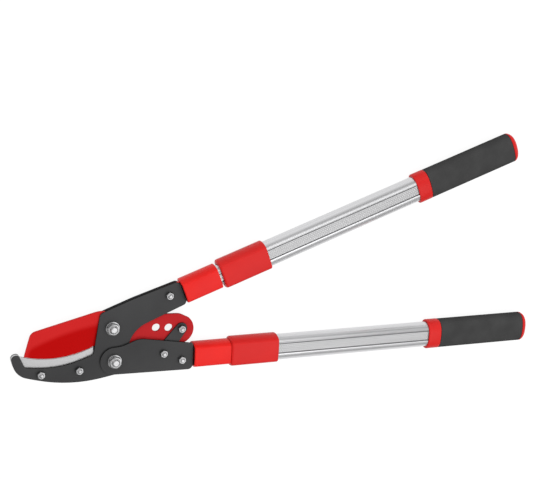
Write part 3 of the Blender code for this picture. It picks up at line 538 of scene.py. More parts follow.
def finish_piece(node, bm, material, sharp=SMOOTH_SHARP, second=None):
    """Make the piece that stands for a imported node, shade it, and hand it to the frame."""
    for face in bm.faces:
        face.smooth = True
    for edge in bm.edges:
        if len(edge.link_faces) == 2:
            edge.smooth = edge.calc_face_angle() < radians(sharp)
    piece = as_object(node + "_piece", bm)
    for used in (material, second) if second else (material,):
        piece.data.materials.append(used)
    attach(piece, frame["nodes"][node]["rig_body"])
    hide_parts(node)
    return piece


def weight_normals(piece):
    """Let the large flat faces lead the shading of a piece with broken edges."""
    piece.modifiers.new("weighted_normals", "WEIGHTED_NORMAL").keep_sharp = True
    return piece


def dressed_copy(node, material, sharp=SMOOTH_SHARP):
    """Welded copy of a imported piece, as it is."""
    return finish_piece(node, welded_copy(node), material, sharp)


print("helpers for finished pieces ready")

# %% [markdown]
# ## Plates and links
#
# The plates are blanked from 2 mm sheet. The punch rolls their rims slightly, and the walls get a finish
# of their own, rougher than the coated faces and painted darker, as painted shade. A bevel round the
# whole rim would fold where the imported arcs' chords are short. So the flat faces go, the upright
# corners of the wall that is left are rounded, and each rim is extruded inwards in two small steps and
# filled.

# %% Plates and links
PLATE_EDGE, ANVIL_EDGE = 0.25, 0.2
FACE_STEEPNESS, WALL_STEEPNESS = 0.99, 0.3  # how far a face's normal leans towards Z
CHORD_SHARE = 25.0  # how much of each chord its rounded corner takes, in percent
LONGEST_LEAN = 0.5  # keeps a sharp corner's way inwards from growing without limit
# Steps of a rolled rim: how far each is drawn in and lies below the face, as shares of its size
ROLLED_RIM = ((0.3, 0.3), (0.7, 0.0))


def roll_rim(bm, level, up, edge):
    """Close one end of a wall with a rolled rim and a flat face."""
    bm.normal_update()
    loops = [e for e in bm.edges if e.is_boundary and abs(e.verts[0].co.z - level) < LEVEL]
    out = bm.verts.layers.float_vector.new("out%d" % up)
    for vert in {v for e in loops for v in e.verts}:
        sides = [face.normal for face in vert.link_faces]
        middle = sum(sides, Vector()).normalized()
        vert[out] = middle / max(LONGEST_LEAN, middle.dot(sides[0]))
        vert.co.z = level - up * edge * MM
    for drawn_in, lowered in ROLLED_RIM:
        points, loops = extrude(bm, loops)
        for vert in points:
            vert.co -= vert[out] * drawn_in * edge * MM
            vert.co.z = level - up * lowered * edge * MM
    bmesh.ops.triangle_fill(bm, use_beauty=True, edges=loops, normal=(0.0, 0.0, up))


def make_plate(node, material, edge, second=None):
    """Keep the walls of a packed plate, round them, and close both ends."""
    bm = welded_copy(node)
    flats = [face for face in bm.faces if abs(face.normal.z) > FACE_STEEPNESS]
    bmesh.ops.delete(bm, geom=flats, context="FACES")
    upright = [e for e in bm.edges if turns_between(e, SMALLEST_TURN, LARGEST_TURN)]
    break_edges(bm, upright, CHORD_SHARE, "PERCENT", clamp=False)
    levels = [vert.co.z for vert in bm.verts]
    roll_rim(bm, max(levels), 1, edge)
    roll_rim(bm, min(levels), -1, edge)
    bmesh.ops.recalc_face_normals(bm, faces=bm.faces)
    bm.normal_update()
    # The walls take the second finish, painted darker as painted shade
    for face in bm.faces:
        face.material_index = int(second is not None and abs(face.normal.z) < WALL_STEEPNESS)
    return weight_normals(finish_piece(node, bm, material, BROKEN_SHARP, second))


for node in ("body_plate_front", "body_plate_rear", "handle_plate_front", "handle_plate_rear",
             "link_front", "link_rear"):
    piece = make_plate(node, BLACK_STEEL, PLATE_EDGE, SHADED_WALL_STEEL)
    print(piece.name, len(piece.data.polygons), "faces")

# %% [markdown]
# ## Blade and anvil
#
# The blade keeps its ground faces and its fine bevel crisp, so it can't be remade from its walls as the
# plates are. Only its full-thickness rim is broken, after the tail's round end has lost its corners, and
# the cutting edge stays thin. The anvil is a soft bar with plain walls, so it is made as a plate.

# %% Blade and anvil
ARC_CUT = 0.9  # how far each corner of the tail's packed arc is cut back


def on_thick_rim(edge):
    return all(abs(abs(vert.co.z - MIDDLE) - BLADE_HALF) < 2 * LEVEL for vert in edge.verts)


def rise(edge):
    return abs(edge.verts[1].co.z - edge.verts[0].co.z)


def make_blade():
    bm = welded_copy("blade")
    round_end = [e for e in bm.edges if on_thick_rim(e) and rise(e) > BLADE_HALF
                 and turns_between(e, SMALLEST_TURN, LARGEST_TURN)
                 and min(vert.co.x for vert in e.verts) > TAIL_START]
    break_edges(bm, round_end, ARC_CUT * MM)
    rim = [e for e in bm.edges if on_thick_rim(e) and rise(e) < LEVEL and turns_between(e, CORNER_TURN)]
    break_edges(bm, rim, PLATE_EDGE * MM)
    return weight_normals(finish_piece("blade", bm, RED_COAT, BROKEN_SHARP))


print(make_blade().name)
print(make_plate("anvil", CAST_ALUMINIUM, ANVIL_EDGE).name)

# %% [markdown]
# ## A helper that extrudes a circle ring by ring
#
# Nuts, bolts, sleeves and grips are all closed skins round an axis. A circle is extruded ring by ring,
# and each ring is a rule that gives a point for an angle. One helper then serves for hexagons, squared
# ovals and creased sleeves alike.

# %% Skin over rings


def skin(sides, rings, capped=False):
    """Extrude a circle through rings; each ring is a function from an angle to a point."""
    bm = bmesh.new()
    turn = bm.verts.layers.float.new("turn")
    bmesh.ops.create_circle(bm, cap_ends=False, segments=sides, radius=1.0)
    for vert in bm.verts:
        vert[turn] = atan2(vert.co.y, vert.co.x)
        vert.co = rings[0](vert[turn])
    edges = first = list(bm.edges)
    for ring in rings[1:] if capped else rings[1:] + rings[:1]:
        points, edges = extrude(bm, edges)
        for vert in points:
            vert.co = ring(vert[turn])
    if capped:
        bmesh.ops.contextual_create(bm, geom=first)
        bmesh.ops.contextual_create(bm, geom=edges)
    else:
        bmesh.ops.remove_doubles(bm, verts=bm.verts, dist=WELD)
    bmesh.ops.recalc_face_normals(bm, faces=bm.faces)
    return bm


print("skin helper ready")

# %% [markdown]
# ## Sleeves of the handles
#
# The sockets and collars are moulded with a crowned front and back, which meet the round sides at a
# soft crease. The rings and grips are squared ovals. Both sections are given as rules in millimetres,
# and the sleeve's ends are rounded by a few stations that draw the section in.

# %% Sections of the sleeves
CREASE_SPOT = 0.75  # share of the half width
CREASE_ANGLE = 25.0
CROWN_DROP = 0.8
OVAL_POWER = 2.5
LOBE_CENTRE = 4.5
SLEEVE_SIDES = 96


def creased(half_width, half_depth):
    """Crowned front and back that meet the round sides at creases."""
    crease = CREASE_SPOT * half_width
    centre = (crease - half_width * sin(radians(CREASE_ANGLE))) / (1 - sin(radians(CREASE_ANGLE)))
    depth = (half_depth - CROWN_DROP) / cos(radians(CREASE_ANGLE))

    def point(turn):
        share = abs((turn + pi / 2) % pi - pi / 2) / (pi / 2)
        if share < 0.5:
            angle = radians(90 - (90 - CREASE_ANGLE) * 2 * share)
            across = centre + (half_width - centre) * sin(angle)
            up = depth * cos(angle)
        else:
            across = crease * 2 * (1 - share)
            up = half_depth - CROWN_DROP * (across / crease) ** 2
        return (across if cos(turn) > 0 else -across), (up if sin(turn) > 0 else -up)
    return point


def oval(half_width, half_depth):
    def point(turn):
        across, up = cos(turn), sin(turn)
        return (half_width * abs(across) ** (2 / OVAL_POWER) * (1 if across > 0 else -1),
                half_depth * abs(up) ** (2 / OVAL_POWER) * (1 if up > 0 else -1))
    return point


def stadium(radius):
    def point(turn):
        return (LOBE_CENTRE if cos(turn) > 0 else -LOBE_CENTRE) + radius * cos(turn), radius * sin(turn)
    return point


print("an oval of 18 by 13 mm passes through", [round(spot, 1) for spot in oval(18, 13)(pi / 4)])

# %% Rings along a handle
UPPER = Matrix.Translation(UPPER_AXIS) @ Matrix.Rotation(HANDLE_LEAN, 4, "Z")
LOWER = Matrix.Translation(LOWER_AXIS) @ Matrix.Rotation(-HANDLE_LEAN, 4, "Z")
RIM_STEPS = 6


def station(handle, along, section):
    """A ring across a handle, from a place along it and a section."""
    def point(turn):
        across, up = section(turn)
        return handle @ (Vector((along, across, up)) * MM)
    return point


def rounded_sides(handle, section, half_width, half_depth, start, end, start_rim, end_rim):
    """Outer rings of a sleeve whose two rims are rounded."""
    rings = []
    for rim, edge, inwards in ((start_rim, start, 1), (end_rim, end, -1)):
        quarter = []
        for step in range(RIM_STEPS + 1):
            angle = pi / 2 * step / RIM_STEPS
            drawn_in = rim * (1 - sin(angle))
            along = edge + inwards * rim * (1 - cos(angle))
            quarter.append(station(handle, along, section(half_width - drawn_in, half_depth - drawn_in)))
        rings += quarter if inwards > 0 else quarter[::-1]
    return rings


print("handles lean", round(degrees(HANDLE_LEAN), 1), "degrees each way")

# %% [markdown]
# ## Sockets
#
# A socket is a red sleeve with a flat tang that is bolted between the plates. Its front end face is sunk
# a little and painted dark like the nylon bushes, as painted shade, which shows as a thin black band
# beside the plates. Bevelling the imported sleeve would leave its facets, so the sleeve is a new skin.
# The tang is flat and keeps its imported shape: a copy of the node is cut at the end face and only the
# tang is kept.

# %% Sockets
SOCKET_START, SOCKET_LENGTH = 94.0, 44.6
SOCKET_HALF_WIDTH, SOCKET_HALF_DEPTH = 14.7, 12.0
SOCKET_BASE, SOCKET_RIM, SOCKET_END_RIM = 7.0, 1.4, 0.8
INNER_RADIUS, OUTER_RADIUS = 8.2, 11.2
# Inset and depth of the sunk end face, which carries painted shade
SHADED_END_INSET, SHADED_END_DEPTH = 0.5, 0.25
TANG_CUT, TANG_ROOM = 0.5, 4.5  # where the tang is cut off, and half of the room for its thickness
HAIR = 0.001  # lets the end face's own points count as past it
ON_CUT = 1e-7  # metres: points nearer to the cutting plane count as on it


def add_tang(bm, node, handle):
    """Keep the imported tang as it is, cut off just inside the socket's end face."""
    tang = welded_copy(node)
    to_handle = handle.inverted()
    cut = handle @ (Vector((SOCKET_START + TANG_CUT, 0.0, 0.0)) * MM)
    away = handle.to_3x3() @ Vector((1.0, 0.0, 0.0))
    geom = tang.verts[:] + tang.edges[:] + tang.faces[:]
    bmesh.ops.bisect_plane(tang, geom=geom, plane_co=cut, plane_no=away, clear_outer=True, dist=ON_CUT)
    beyond = [v for v in tang.verts if (to_handle @ v.co).x > (SOCKET_START - HAIR) * MM
              and abs((to_handle @ v.co).z) > TANG_ROOM * MM]
    bmesh.ops.delete(tang, geom=beyond, context="VERTS")
    bmesh.ops.holes_fill(tang, edges=[e for e in tang.edges if e.is_boundary], sides=0)
    bmesh.ops.recalc_face_normals(tang, faces=tang.faces)
    mesh = bpy.data.meshes.new("tang")
    tang.to_mesh(mesh)
    tang.free()
    bm.from_mesh(mesh)
    bpy.data.meshes.remove(mesh)


def make_socket(label, handle):
    start, end = SOCKET_START, SOCKET_START + SOCKET_LENGTH
    inset = SOCKET_RIM + SHADED_END_INSET
    painted_shade_end = creased(SOCKET_HALF_WIDTH - inset, SOCKET_HALF_DEPTH - inset)
    rings = [station(handle, start + SHADED_END_DEPTH, painted_shade_end), station(handle, start, painted_shade_end)]
    rings += rounded_sides(handle, creased, SOCKET_HALF_WIDTH, SOCKET_HALF_DEPTH, start, end,
                           SOCKET_RIM, SOCKET_END_RIM)
    bore = stadium(INNER_RADIUS + GAP)
    rings += [station(handle, end, bore), station(handle, start + SOCKET_BASE, bore)]
    bm = skin(SLEEVE_SIDES, rings, capped=True)
    for face in bm.faces:
        # Of the skin's two caps, the front one is the sunk end face, dark as painted shade, and the other
        # is the bore's bottom
        along = (handle.inverted() @ face.calc_center_median()).x / MM
        face.material_index = int(len(face.verts) == SLEEVE_SIDES and along < start + SOCKET_BASE / 2)
    add_tang(bm, label + "_socket", handle)
    return finish_piece(label + "_socket", bm, SOCKET_RED, second=DARK_NYLON_AND_SHADE)


print(make_socket("upper", UPPER).name, make_socket("lower", LOWER).name)

# %% [markdown]
# ## Collars
#
# The collar slides on the inner tube and carries the lock in a window in its back. The sleeve is a
# closed skin round two bores. More rings could leave a window open, but not the round hole for the
# pin, so the window, its pocket and the hole are all cut with Booleans.

# %% Cutting with Booleans


def cut_away(bm, cutters):
    """Cut each of the given bmeshes out of the first one."""
    target = as_object("target", bm)
    tools = [as_object("cutter", cutter) for cutter in cutters]
    for tool in tools:
        boolean = target.modifiers.new("cut", "BOOLEAN")
        boolean.operation = "DIFFERENCE"
        boolean.solver = "EXACT"
        boolean.object = tool
    done = bmesh.new()
    done.from_mesh(target.evaluated_get(bpy.context.evaluated_depsgraph_get()).to_mesh())
    for used in (target, *tools):
        mesh = used.data
        bpy.data.objects.remove(used)
        bpy.data.meshes.remove(mesh)
    return done


def block(low, high, place):
    low, high = Vector(low) * MM, Vector(high) * MM
    bm = bmesh.new()
    bmesh.ops.create_cube(bm, size=1.0)
    bmesh.ops.scale(bm, vec=high - low, verts=bm.verts)
    bmesh.ops.translate(bm, vec=(low + high) / 2, verts=bm.verts)
    bmesh.ops.transform(bm, matrix=place, verts=bm.verts)
    return bm


print("cutting helpers ready")

# %% Collars
COLLAR_LENGTH, COLLAR_SEAT, COLLAR_HALF_WIDTH = 59.0, 28.0, 17.4
COLLAR_FRONT_RIM, COLLAR_BACK_RIM = 2.6, 1.4
COLLAR_HOME = SOCKET_START + SOCKET_LENGTH + GAP
UPPER_DRAWN_OUT = 3.0
LOCK_PIVOT, LOCK_PIVOT_DEPTH, LOCK_ARM, LOCK_HALF_WIDTH = 17.0, 10.9, 10.4, 4.2
LOCK_POCKET_FLOOR, LOCK_WINDOW_END = 9.4, 3.3
PIN_HOLE_RADIUS, PIN_HOLE_REACH, PIN_HOLE_SIDES = 1.1, 7.8, 24
CUT_BEYOND = 1.0  # how far a cutter reaches past the surface that it opens
ROCKER_EDGE = 0.15


def lock_cutters(place):
    """Pocket for the spring, window for the rocker's nib, and a hole across for the pin."""
    side, reach, outside = LOCK_HALF_WIDTH + GAP, LOCK_ARM + GAP, -HALF_DEPTH - CUT_BEYOND
    rod = bmesh.new()
    bmesh.ops.create_cone(rod, cap_ends=True, segments=PIN_HOLE_SIDES, radius1=PIN_HOLE_RADIUS * MM,
                          radius2=PIN_HOLE_RADIUS * MM, depth=2 * PIN_HOLE_REACH * MM)
    lay = Matrix.Translation(Vector((0, 0, -LOCK_PIVOT_DEPTH)) * MM) @ Matrix.Rotation(pi / 2, 4, "X")
    bmesh.ops.transform(rod, matrix=place @ lay, verts=rod.verts)
    return [block((-reach, -side, outside), (reach, side, -LOCK_POCKET_FLOOR), place),
            block((-reach, -side, outside), (LOCK_WINDOW_END, side, CUT_BEYOND - INNER_RADIUS), place),
            rod]


def make_collar(label, handle, front):
    back = front + COLLAR_LENGTH
    seat = back - COLLAR_SEAT
    rings = rounded_sides(handle, creased, COLLAR_HALF_WIDTH, HALF_DEPTH, front, back,
                          COLLAR_FRONT_RIM, COLLAR_BACK_RIM)
    wide, narrow = stadium(OUTER_RADIUS + GAP), stadium(INNER_RADIUS + GAP)
    rings += [station(handle, along, bore) for along, bore in
              ((back, wide), (seat, wide), (seat, narrow), (front, narrow))]
    place = handle @ Matrix.Translation(Vector((front + LOCK_PIVOT, 0.0, 0.0)) * MM)
    bm = cut_away(skin(SLEEVE_SIDES, rings), lock_cutters(place))
    return finish_piece(label + "_collar", bm, SLEEVE_RED)


# Each handle with the place where its sliding part begins
HANDLES = (("upper", UPPER, COLLAR_HOME + UPPER_DRAWN_OUT), ("lower", LOWER, COLLAR_HOME))
for label, handle, front in HANDLES:
    print(make_collar(label, handle, front).name, "begins at", round(front, 1), "mm")

# %% [markdown]
# ## Rings, grips and end caps
#
# The red ring is moulded on the tube in front of the foam grip, and a domed cap closes its far end. All
# three have a squared oval section. A cylinder with a Subdivision modifier comes close, but its
# section can't be set exactly, so the oval is a formula and each ring of the skin follows it.

# %% Rings, grips and caps
VISIBLE_TUBE = 198.5
RING_LENGTH, RING_HALF_WIDTH, RING_RIM = 16.7, 18.2, 1.2
GRIP_LENGTH, GRIP_HALF_WIDTH, GRIP_HALF_DEPTH, GRIP_RIM = 115.0, 18.02, 12.6, 0.8
CAP_HEIGHT, CAP_PLUG, PLUG_RADIUS = 7.9, 14.0, 8.9
CAP_ANGLES = (0, 5, 12, 20, 28, 36, 44, 52, 60, 67, 74, 80, 85, 88.5)
DOME_POWER = 0.8


def oval_sleeve(handle, half_width, half_depth, start, end, rim):
    """An oval sleeve with rounded rims over the outer tube."""
    bore = stadium(OUTER_RADIUS + GAP)
    rings = rounded_sides(handle, oval, half_width, half_depth, start, end, rim, rim)
    return skin(SLEEVE_SIDES, rings + [station(handle, end, bore), station(handle, start, bore)])


def end_cap(handle, base, start):
    """A domed cap with a plug inside the grip."""
    plug = stadium(PLUG_RADIUS)
    rings = [station(handle, start, plug), station(handle, base, plug)]
    for angle in CAP_ANGLES:
        shrink = cos(radians(angle)) ** DOME_POWER
        dome = oval(GRIP_HALF_WIDTH * shrink, GRIP_HALF_DEPTH * shrink)
        rings.append(station(handle, base + CAP_HEIGHT * sin(radians(angle)), dome))
    return skin(SLEEVE_SIDES, rings, capped=True)


def make_grip_end(label, handle, front):
    ring_start = front + COLLAR_LENGTH + VISIBLE_TUBE
    ring_end = ring_start + RING_LENGTH
    ring = oval_sleeve(handle, RING_HALF_WIDTH, HALF_DEPTH, ring_start, ring_end, RING_RIM)
    finish_piece(label + "_ring", ring, SLEEVE_RED)
    grip_start = ring_end + GAP
    grip_end = grip_start + GRIP_LENGTH
    grip = oval_sleeve(handle, GRIP_HALF_WIDTH, GRIP_HALF_DEPTH, grip_start, grip_end, GRIP_RIM)
    finish_piece(label + "_grip", grip, FOAM)
    cap = end_cap(handle, grip_end + GAP, grip_end - CAP_PLUG)
    finish_piece(label + "_end_cap", cap, SLEEVE_RED)
    return grip_end + GAP + CAP_HEIGHT


for label, handle, front in HANDLES:
    print(label, "handle ends", round(make_grip_end(label, handle, front), 1), "mm from its axis point")

# %% [markdown]
# ## Outer tubes
#
# An outer tube is extruded: two round lobes joined by flat panels, which are sunk a little between two
# fine grooves. A bump could only hint at the grooves, so they are real. The outline is a list of
# points, and each ring of the skin takes the point that its angle stands for. The front panel lies a
# little above the tube's middle, as the photograph shows.

# %% Outer tubes
TUBE_WALL, PANEL_SINK, GROOVE_DEPTH = 1.2, 0.8, 0.6
LOBE_POINTS = 40
TUBE_SIDES = 2 * LOBE_POINTS + 8
INNER_ARC = 70.0


def lobe(side, radius, start, end):
    """Points on a lobe's arc between two angles in degrees."""
    angles = (radians(start + (end - start) * step / (LOBE_POINTS - 1)) for step in range(LOBE_POINTS))
    return [(side * LOBE_CENTRE + radius * cos(angle), radius * sin(angle)) for angle in angles]


def tube_sections(radius, offset, half_width):
    """Outside and inside of a tube, as lists of as many points each."""
    panel, inner_panel = radius - PANEL_SINK, radius - PANEL_SINK - TUBE_WALL
    reach, lip = half_width + GROOVE_WIDTH / 2, half_width - GROOVE_WIDTH / 2
    outer, inner = [], []
    for side, turn, before, after in ((1, 0, 0.0, offset), (-1, 180, -offset, 0.0)):
        start = turn - 90 + degrees(asin((reach + before - LOBE_CENTRE) / radius))
        end = turn + 90 - degrees(asin((reach + after - LOBE_CENTRE) / radius))
        outer += lobe(side, radius, start, end)
        outer += [(side * (spot + after), side * (panel - depth)) for spot, depth in
                  ((half_width, GROOVE_DEPTH), (lip, 0.0), (-lip, 0.0), (-half_width, GROOVE_DEPTH))]
        inner += lobe(side, radius - TUBE_WALL, turn - INNER_ARC, turn + INNER_ARC)
        inner += [(side * spot, side * inner_panel) for spot in (lip, lip / 3, -lip / 3, -lip)]
    return outer, inner


def listed(points):
    """A section that looks its points up by angle."""
    return lambda turn: points[round(turn / (2 * pi) * len(points)) % len(points)]


def make_tube(label, handle, start, end):
    outer, inner = (listed(points) for points in tube_sections(OUTER_RADIUS, *OUTER_PANEL))
    rings = [station(handle, start, outer), station(handle, end, outer),
             station(handle, end, inner), station(handle, start, inner)]
    return finish_piece(label + "_outer_tube", skin(TUBE_SIDES, rings), TUBE_METALS[label, "outer"],
                        FINE_SHARP)


def along_handle(node, handle):
    """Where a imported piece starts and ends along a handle, in millimetres."""
    places = [(handle.inverted() @ vert.co).x / MM for vert in frame["nodes"][node].data.vertices]
    return min(places), max(places)


for label, handle, front in HANDLES:
    print(make_tube(label, handle, *along_handle(label + "_outer_tube", handle)).name)

# %% [markdown]
# ## Inner tubes, bushes and locks
#
# These already have the right shape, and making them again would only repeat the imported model. So
# copies of them are welded and shaded, and the rocker that a thumb presses has its edges broken.

# %% Inner tubes, bushes, locks


def make_rocker(node):
    bm = welded_copy(node)
    break_edges(bm, [e for e in bm.edges if turns_between(e, CORNER_TURN)], ROCKER_EDGE * MM)
    return weight_normals(finish_piece(node, bm, SLEEVE_RED, BROKEN_SHARP))


for side in ("upper", "lower"):
    dressed_copy(side + "_inner_tube", TUBE_METALS[side, "inner"], FINE_SHARP)
    dressed_copy(side + "_end_bush", DARK_NYLON_AND_SHADE)
    print(make_rocker(side + "_lock").name)
    dressed_copy(side + "_lock_pin", ZINC)
    dressed_copy(side + "_lock_spring", ZINC)

# %% [markdown]
# ## Bolts and nuts
#
# Bolts, nuts and washers are zinc plated. All of them are turned pieces, partly with flats, so each is a
# profile of radii and heights that the skin helper carries round the fastener's centre.

# %% Rings of a fastener
FASTENER_SIDES, FASTENER_SHARP = 48, 32.0


def round_point(centre, turn, radius, height):
    return Vector((centre[0] + radius * cos(turn), centre[1] + radius * sin(turn), height)) * MM


def turned(centre, profile):
    """Rings for a turned stretch, from pairs of a radius and a height."""
    return [partial(round_point, centre, radius=radius, height=height) for radius, height in profile]


def hexagon_ring(centre, flats, height, cone_radius=None):
    """A hexagon, whose corners fall along a cone outside its radius, if one is given."""
    def point(turn):
        radius = flats / 2 / cos((turn + pi / 6) % (pi / 3) - pi / 6)
        drop = max(0.0, radius - cone_radius) * CONE_SLOPE if cone_radius else 0.0
        return round_point(centre, turn, radius, height - drop)
    return point


def finish_fastener(node, rings, sharp=FASTENER_SHARP, capped=False):
    return finish_piece(node, skin(FASTENER_SIDES, rings, capped), ZINC, sharp)


print("fasteners have", FASTENER_SIDES, "sides")

# %% [markdown]
# A nut is a hexagon whose corners are cut by a cone, so each flat ends in a curved line, and it has a
# low ring round its bore. A Boolean with a cone would cut the same line, but with slivers of faces beside
# it. Here the top hexagon's points simply fall by the cone's slope.

# %% Nuts
CONE_SLOPE = tan(radians(28))
# A nut's parts, as shares of its width across flats
NUT_CROWN, NUT_RING, NUT_FOOT, NUT_CONE = 0.06, 0.4, 0.47, 0.475
NUT_RIM = ((0.0, 0.5), (0.5, 0.9), (1.0, 1.0))  # its ring's rounding: drawn in, up; shares of the crown
NUT_BEVEL, RING_STEP, BORE_BEVEL = 0.25, 0.15, 0.3  # in millimetres


def make_nut(node, centre, flats, bolt, low, top):
    crown, ring, cone = NUT_CROWN * flats, NUT_RING * flats, NUT_CONE * flats
    face, bore = top - crown, bolt + GAP
    rings = turned(centre, ((bore, low), (NUT_FOOT * flats, low)))
    rings += [hexagon_ring(centre, flats, low + NUT_BEVEL), hexagon_ring(centre, flats, face, cone)]
    profile = [(cone, face), (ring + RING_STEP, face)]
    profile += [(ring - crown * drawn_in, face + crown * up) for drawn_in, up in NUT_RIM]
    profile += [(bore + BORE_BEVEL, top), (bore, top - BORE_BEVEL)]
    return finish_fastener(node, rings + turned(centre, profile))


print("a nut's corners fall by", round(CONE_SLOPE, 2), "mm for each mm outside the cone")

# %% [markdown]
# A bolt shows its head behind and its domed end in front of the nut, with the last turn of thread as a
# small step. A whole thread would be a helix that nothing but its end shows, so it is left out.

# %% Bolts
# The head, as shares of its radius and of its height
HEAD_PROFILE = ((0.82, 0.0), (0.93, 0.12), (1.0, 0.4))
# The hexagon socket, as shares of the bolt's radius and of the head's height, and its rim's bevel
KEY_FLATS, KEY_MOUTH, KEY_DEPTH, KEY_BEVEL = 1.3, 1.05, 0.55, 0.1
FLANGE_FOOT, FLANGE_BEVEL = 0.2, 0.5
THREAD_DEPTH, THREAD_START, THREAD_ROOT, THREAD_END = 0.3, 0.2, 0.1, 0.35
DOME_ANGLES, DOME_RISE = (0, 20, 40, 60, 75), 0.85
DOME_SHARES, DOME_SAG = (0.95, 0.7, 0.4, 0.1), 0.12


def make_bolt(node, centre, radius, head_radius, flange, bottom, head_top, nut_top, top):
    """Bolt with a round head, a flange round it if given, a hexagon socket and a domed end."""
    head, foot, outer = head_top - flange - bottom, head_top - flange, head_radius + flange
    rings = [hexagon_ring(centre, radius * KEY_FLATS, bottom + head * KEY_DEPTH),
             hexagon_ring(centre, radius * KEY_FLATS, bottom + KEY_BEVEL)]
    profile = [(radius * KEY_MOUTH, bottom)]
    profile += [(head_radius * share, bottom + head * height) for share, height in HEAD_PROFILE]
    if flange:
        profile += [(head_radius, foot - FLANGE_FOOT), (head_radius + FLANGE_FOOT, foot),
                    (outer - FLANGE_BEVEL, foot), (outer, foot + FLANGE_BEVEL)]
    root, end = radius - THREAD_DEPTH, nut_top + THREAD_END
    profile += [(outer, head_top), (radius, head_top), (radius, nut_top - THREAD_START),
                (root, nut_top), (root, nut_top + THREAD_ROOT), (radius, end)]
    dome = top - end
    for angle in DOME_ANGLES:
        profile.append((radius - dome + dome * cos(radians(angle)),
                        end + DOME_RISE * dome * sin(radians(angle))))
    profile += [((radius - dome) * share, top - DOME_SAG * dome * share ** 2) for share in DOME_SHARES]
    return finish_fastener(node, rings + turned(centre, profile), capped=True)


print("a bolt's end is domed in", len(DOME_ANGLES) + len(DOME_SHARES), "rings")

# %% [markdown]
# Washers, bushes and the spacer are flat rings with broken rims. A bevelled cylinder with a hole would
# do, but as a profile they need no modifier and no Boolean.

# %% Washers, bushes and the spacer
WIDEST_BREAK = 0.35
RIM_MIDDLE = 0.3  # how far the middle of a broken rim is drawn in, as a share of the break


def make_washer(node, centre, outer, bore, low, high):
    edge = min(WIDEST_BREAK, (high - low) / 3)
    middle = RIM_MIDDLE * edge
    rings = turned(centre, ((bore, low), (outer - edge, low), (outer, low + edge), (outer, high - edge),
                            (outer - middle, high - middle), (outer - edge, high), (bore, high)))
    return finish_fastener(node, rings, BROKEN_SHARP)


print("their rims are broken by at most", WIDEST_BREAK, "mm")

# %% [markdown]
# Each packed fastener's box gives its centre and its two ends, so no place is typed in twice.

# %% Fasteners
SMALL_BOLTS = ("anvil_front", "anvil_back", "upper_socket", "lower_socket", "link_tail", "link_pivot")
SMALL_FLATS, SMALL_RADIUS, SMALL_HEAD_RADIUS, SMALL_HEAD_HEIGHT = 8.0, 2.5, 4.75, 2.8
# Each with how far its rearmost plate's back lies below the middle plane
PIVOT_BOLTS = (("blade_pivot", 3.8), ("handle_pivot", 6.1))
PIVOT_FLATS, PIVOT_RADIUS, PIVOT_HEAD_RADIUS, PIVOT_FLANGE = 13.0, 4.0, 6.5, 2.0
WASHER_RADIUS, BUSH_RADIUS, SPACER_RADIUS = 8.2, 6.5, 4.4


def span(node):
    """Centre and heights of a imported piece, in millimetres."""
    low, high = (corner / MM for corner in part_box(node))
    return ((low.x + high.x) / 2, (low.y + high.y) / 2), low.z, high.z


def make_bolt_and_nut(name, flats, radius, head_radius, flange=0.0, head_top=None):
    centre, nut_low, nut_top = span(name + "_nut")
    bolt_low, bolt_top = span(name + "_bolt")[1:]
    make_nut(name + "_nut", centre, flats, radius, nut_low, nut_top)
    make_bolt(name + "_bolt", centre, radius, head_radius, flange, bolt_low,
              head_top or bolt_low + SMALL_HEAD_HEIGHT, nut_top, bolt_top)
    return centre


for name in SMALL_BOLTS:
    make_bolt_and_nut(name, SMALL_FLATS, SMALL_RADIUS, SMALL_HEAD_RADIUS)
for name, outer_face in PIVOT_BOLTS:
    centre = make_bolt_and_nut(name, PIVOT_FLATS, PIVOT_RADIUS, PIVOT_HEAD_RADIUS, PIVOT_FLANGE,
                               HALF_DEPTH - outer_face - GAP)
    for part, radius in (("_washer", WASHER_RADIUS), ("_bush", BUSH_RADIUS)):
        make_washer(name + part, centre, radius, PIVOT_RADIUS + GAP, *span(name + part)[1:])
centre, spacer_low, spacer_top = span("link_pivot_spacer")
make_washer("link_pivot_spacer", centre, SPACER_RADIUS, SMALL_RADIUS + GAP, spacer_low, spacer_top)
print("fasteners made:", 2 * len(SMALL_BOLTS) + 4 * len(PIVOT_BOLTS) + 1)

# %% [markdown]
# ## Floor
#
# The product lies on a white sweep. A paper floor lit until it is white would wash out the lopper, so
# the floor glows white only to the camera and to metal that mirrors it, and still takes a faint shadow.

# %% Floor
FLOOR_SIZE = 60.0
FLOOR_SPOT = (0.2, 0.0, -0.0004)  # a little below the lopper, so that the two never touch
FLOOR_GLOW, FLOOR_SHADE, FLOOR_COLOUR = 0.88, 0.18, 0.5
WHITE = (1.0, 1.0, 1.0, 1.0)


def split_rays(tree, output, lighting, seen):
    """Let the camera and mirrored or passing rays meet one shader, and all other light another."""
    path = add_node(tree, "LightPath")
    sharp = arithmetic(tree, "MAXIMUM", path.outputs["Is Camera Ray"], path.outputs["Is Glossy Ray"])
    share = arithmetic(tree, "MAXIMUM", sharp, path.outputs["Is Transmission Ray"])
    mix = add_node(tree, "MixShader", {0: share, 1: lighting, 2: seen})
    tree.links.new(mix.outputs["Shader"], output.inputs["Surface"])


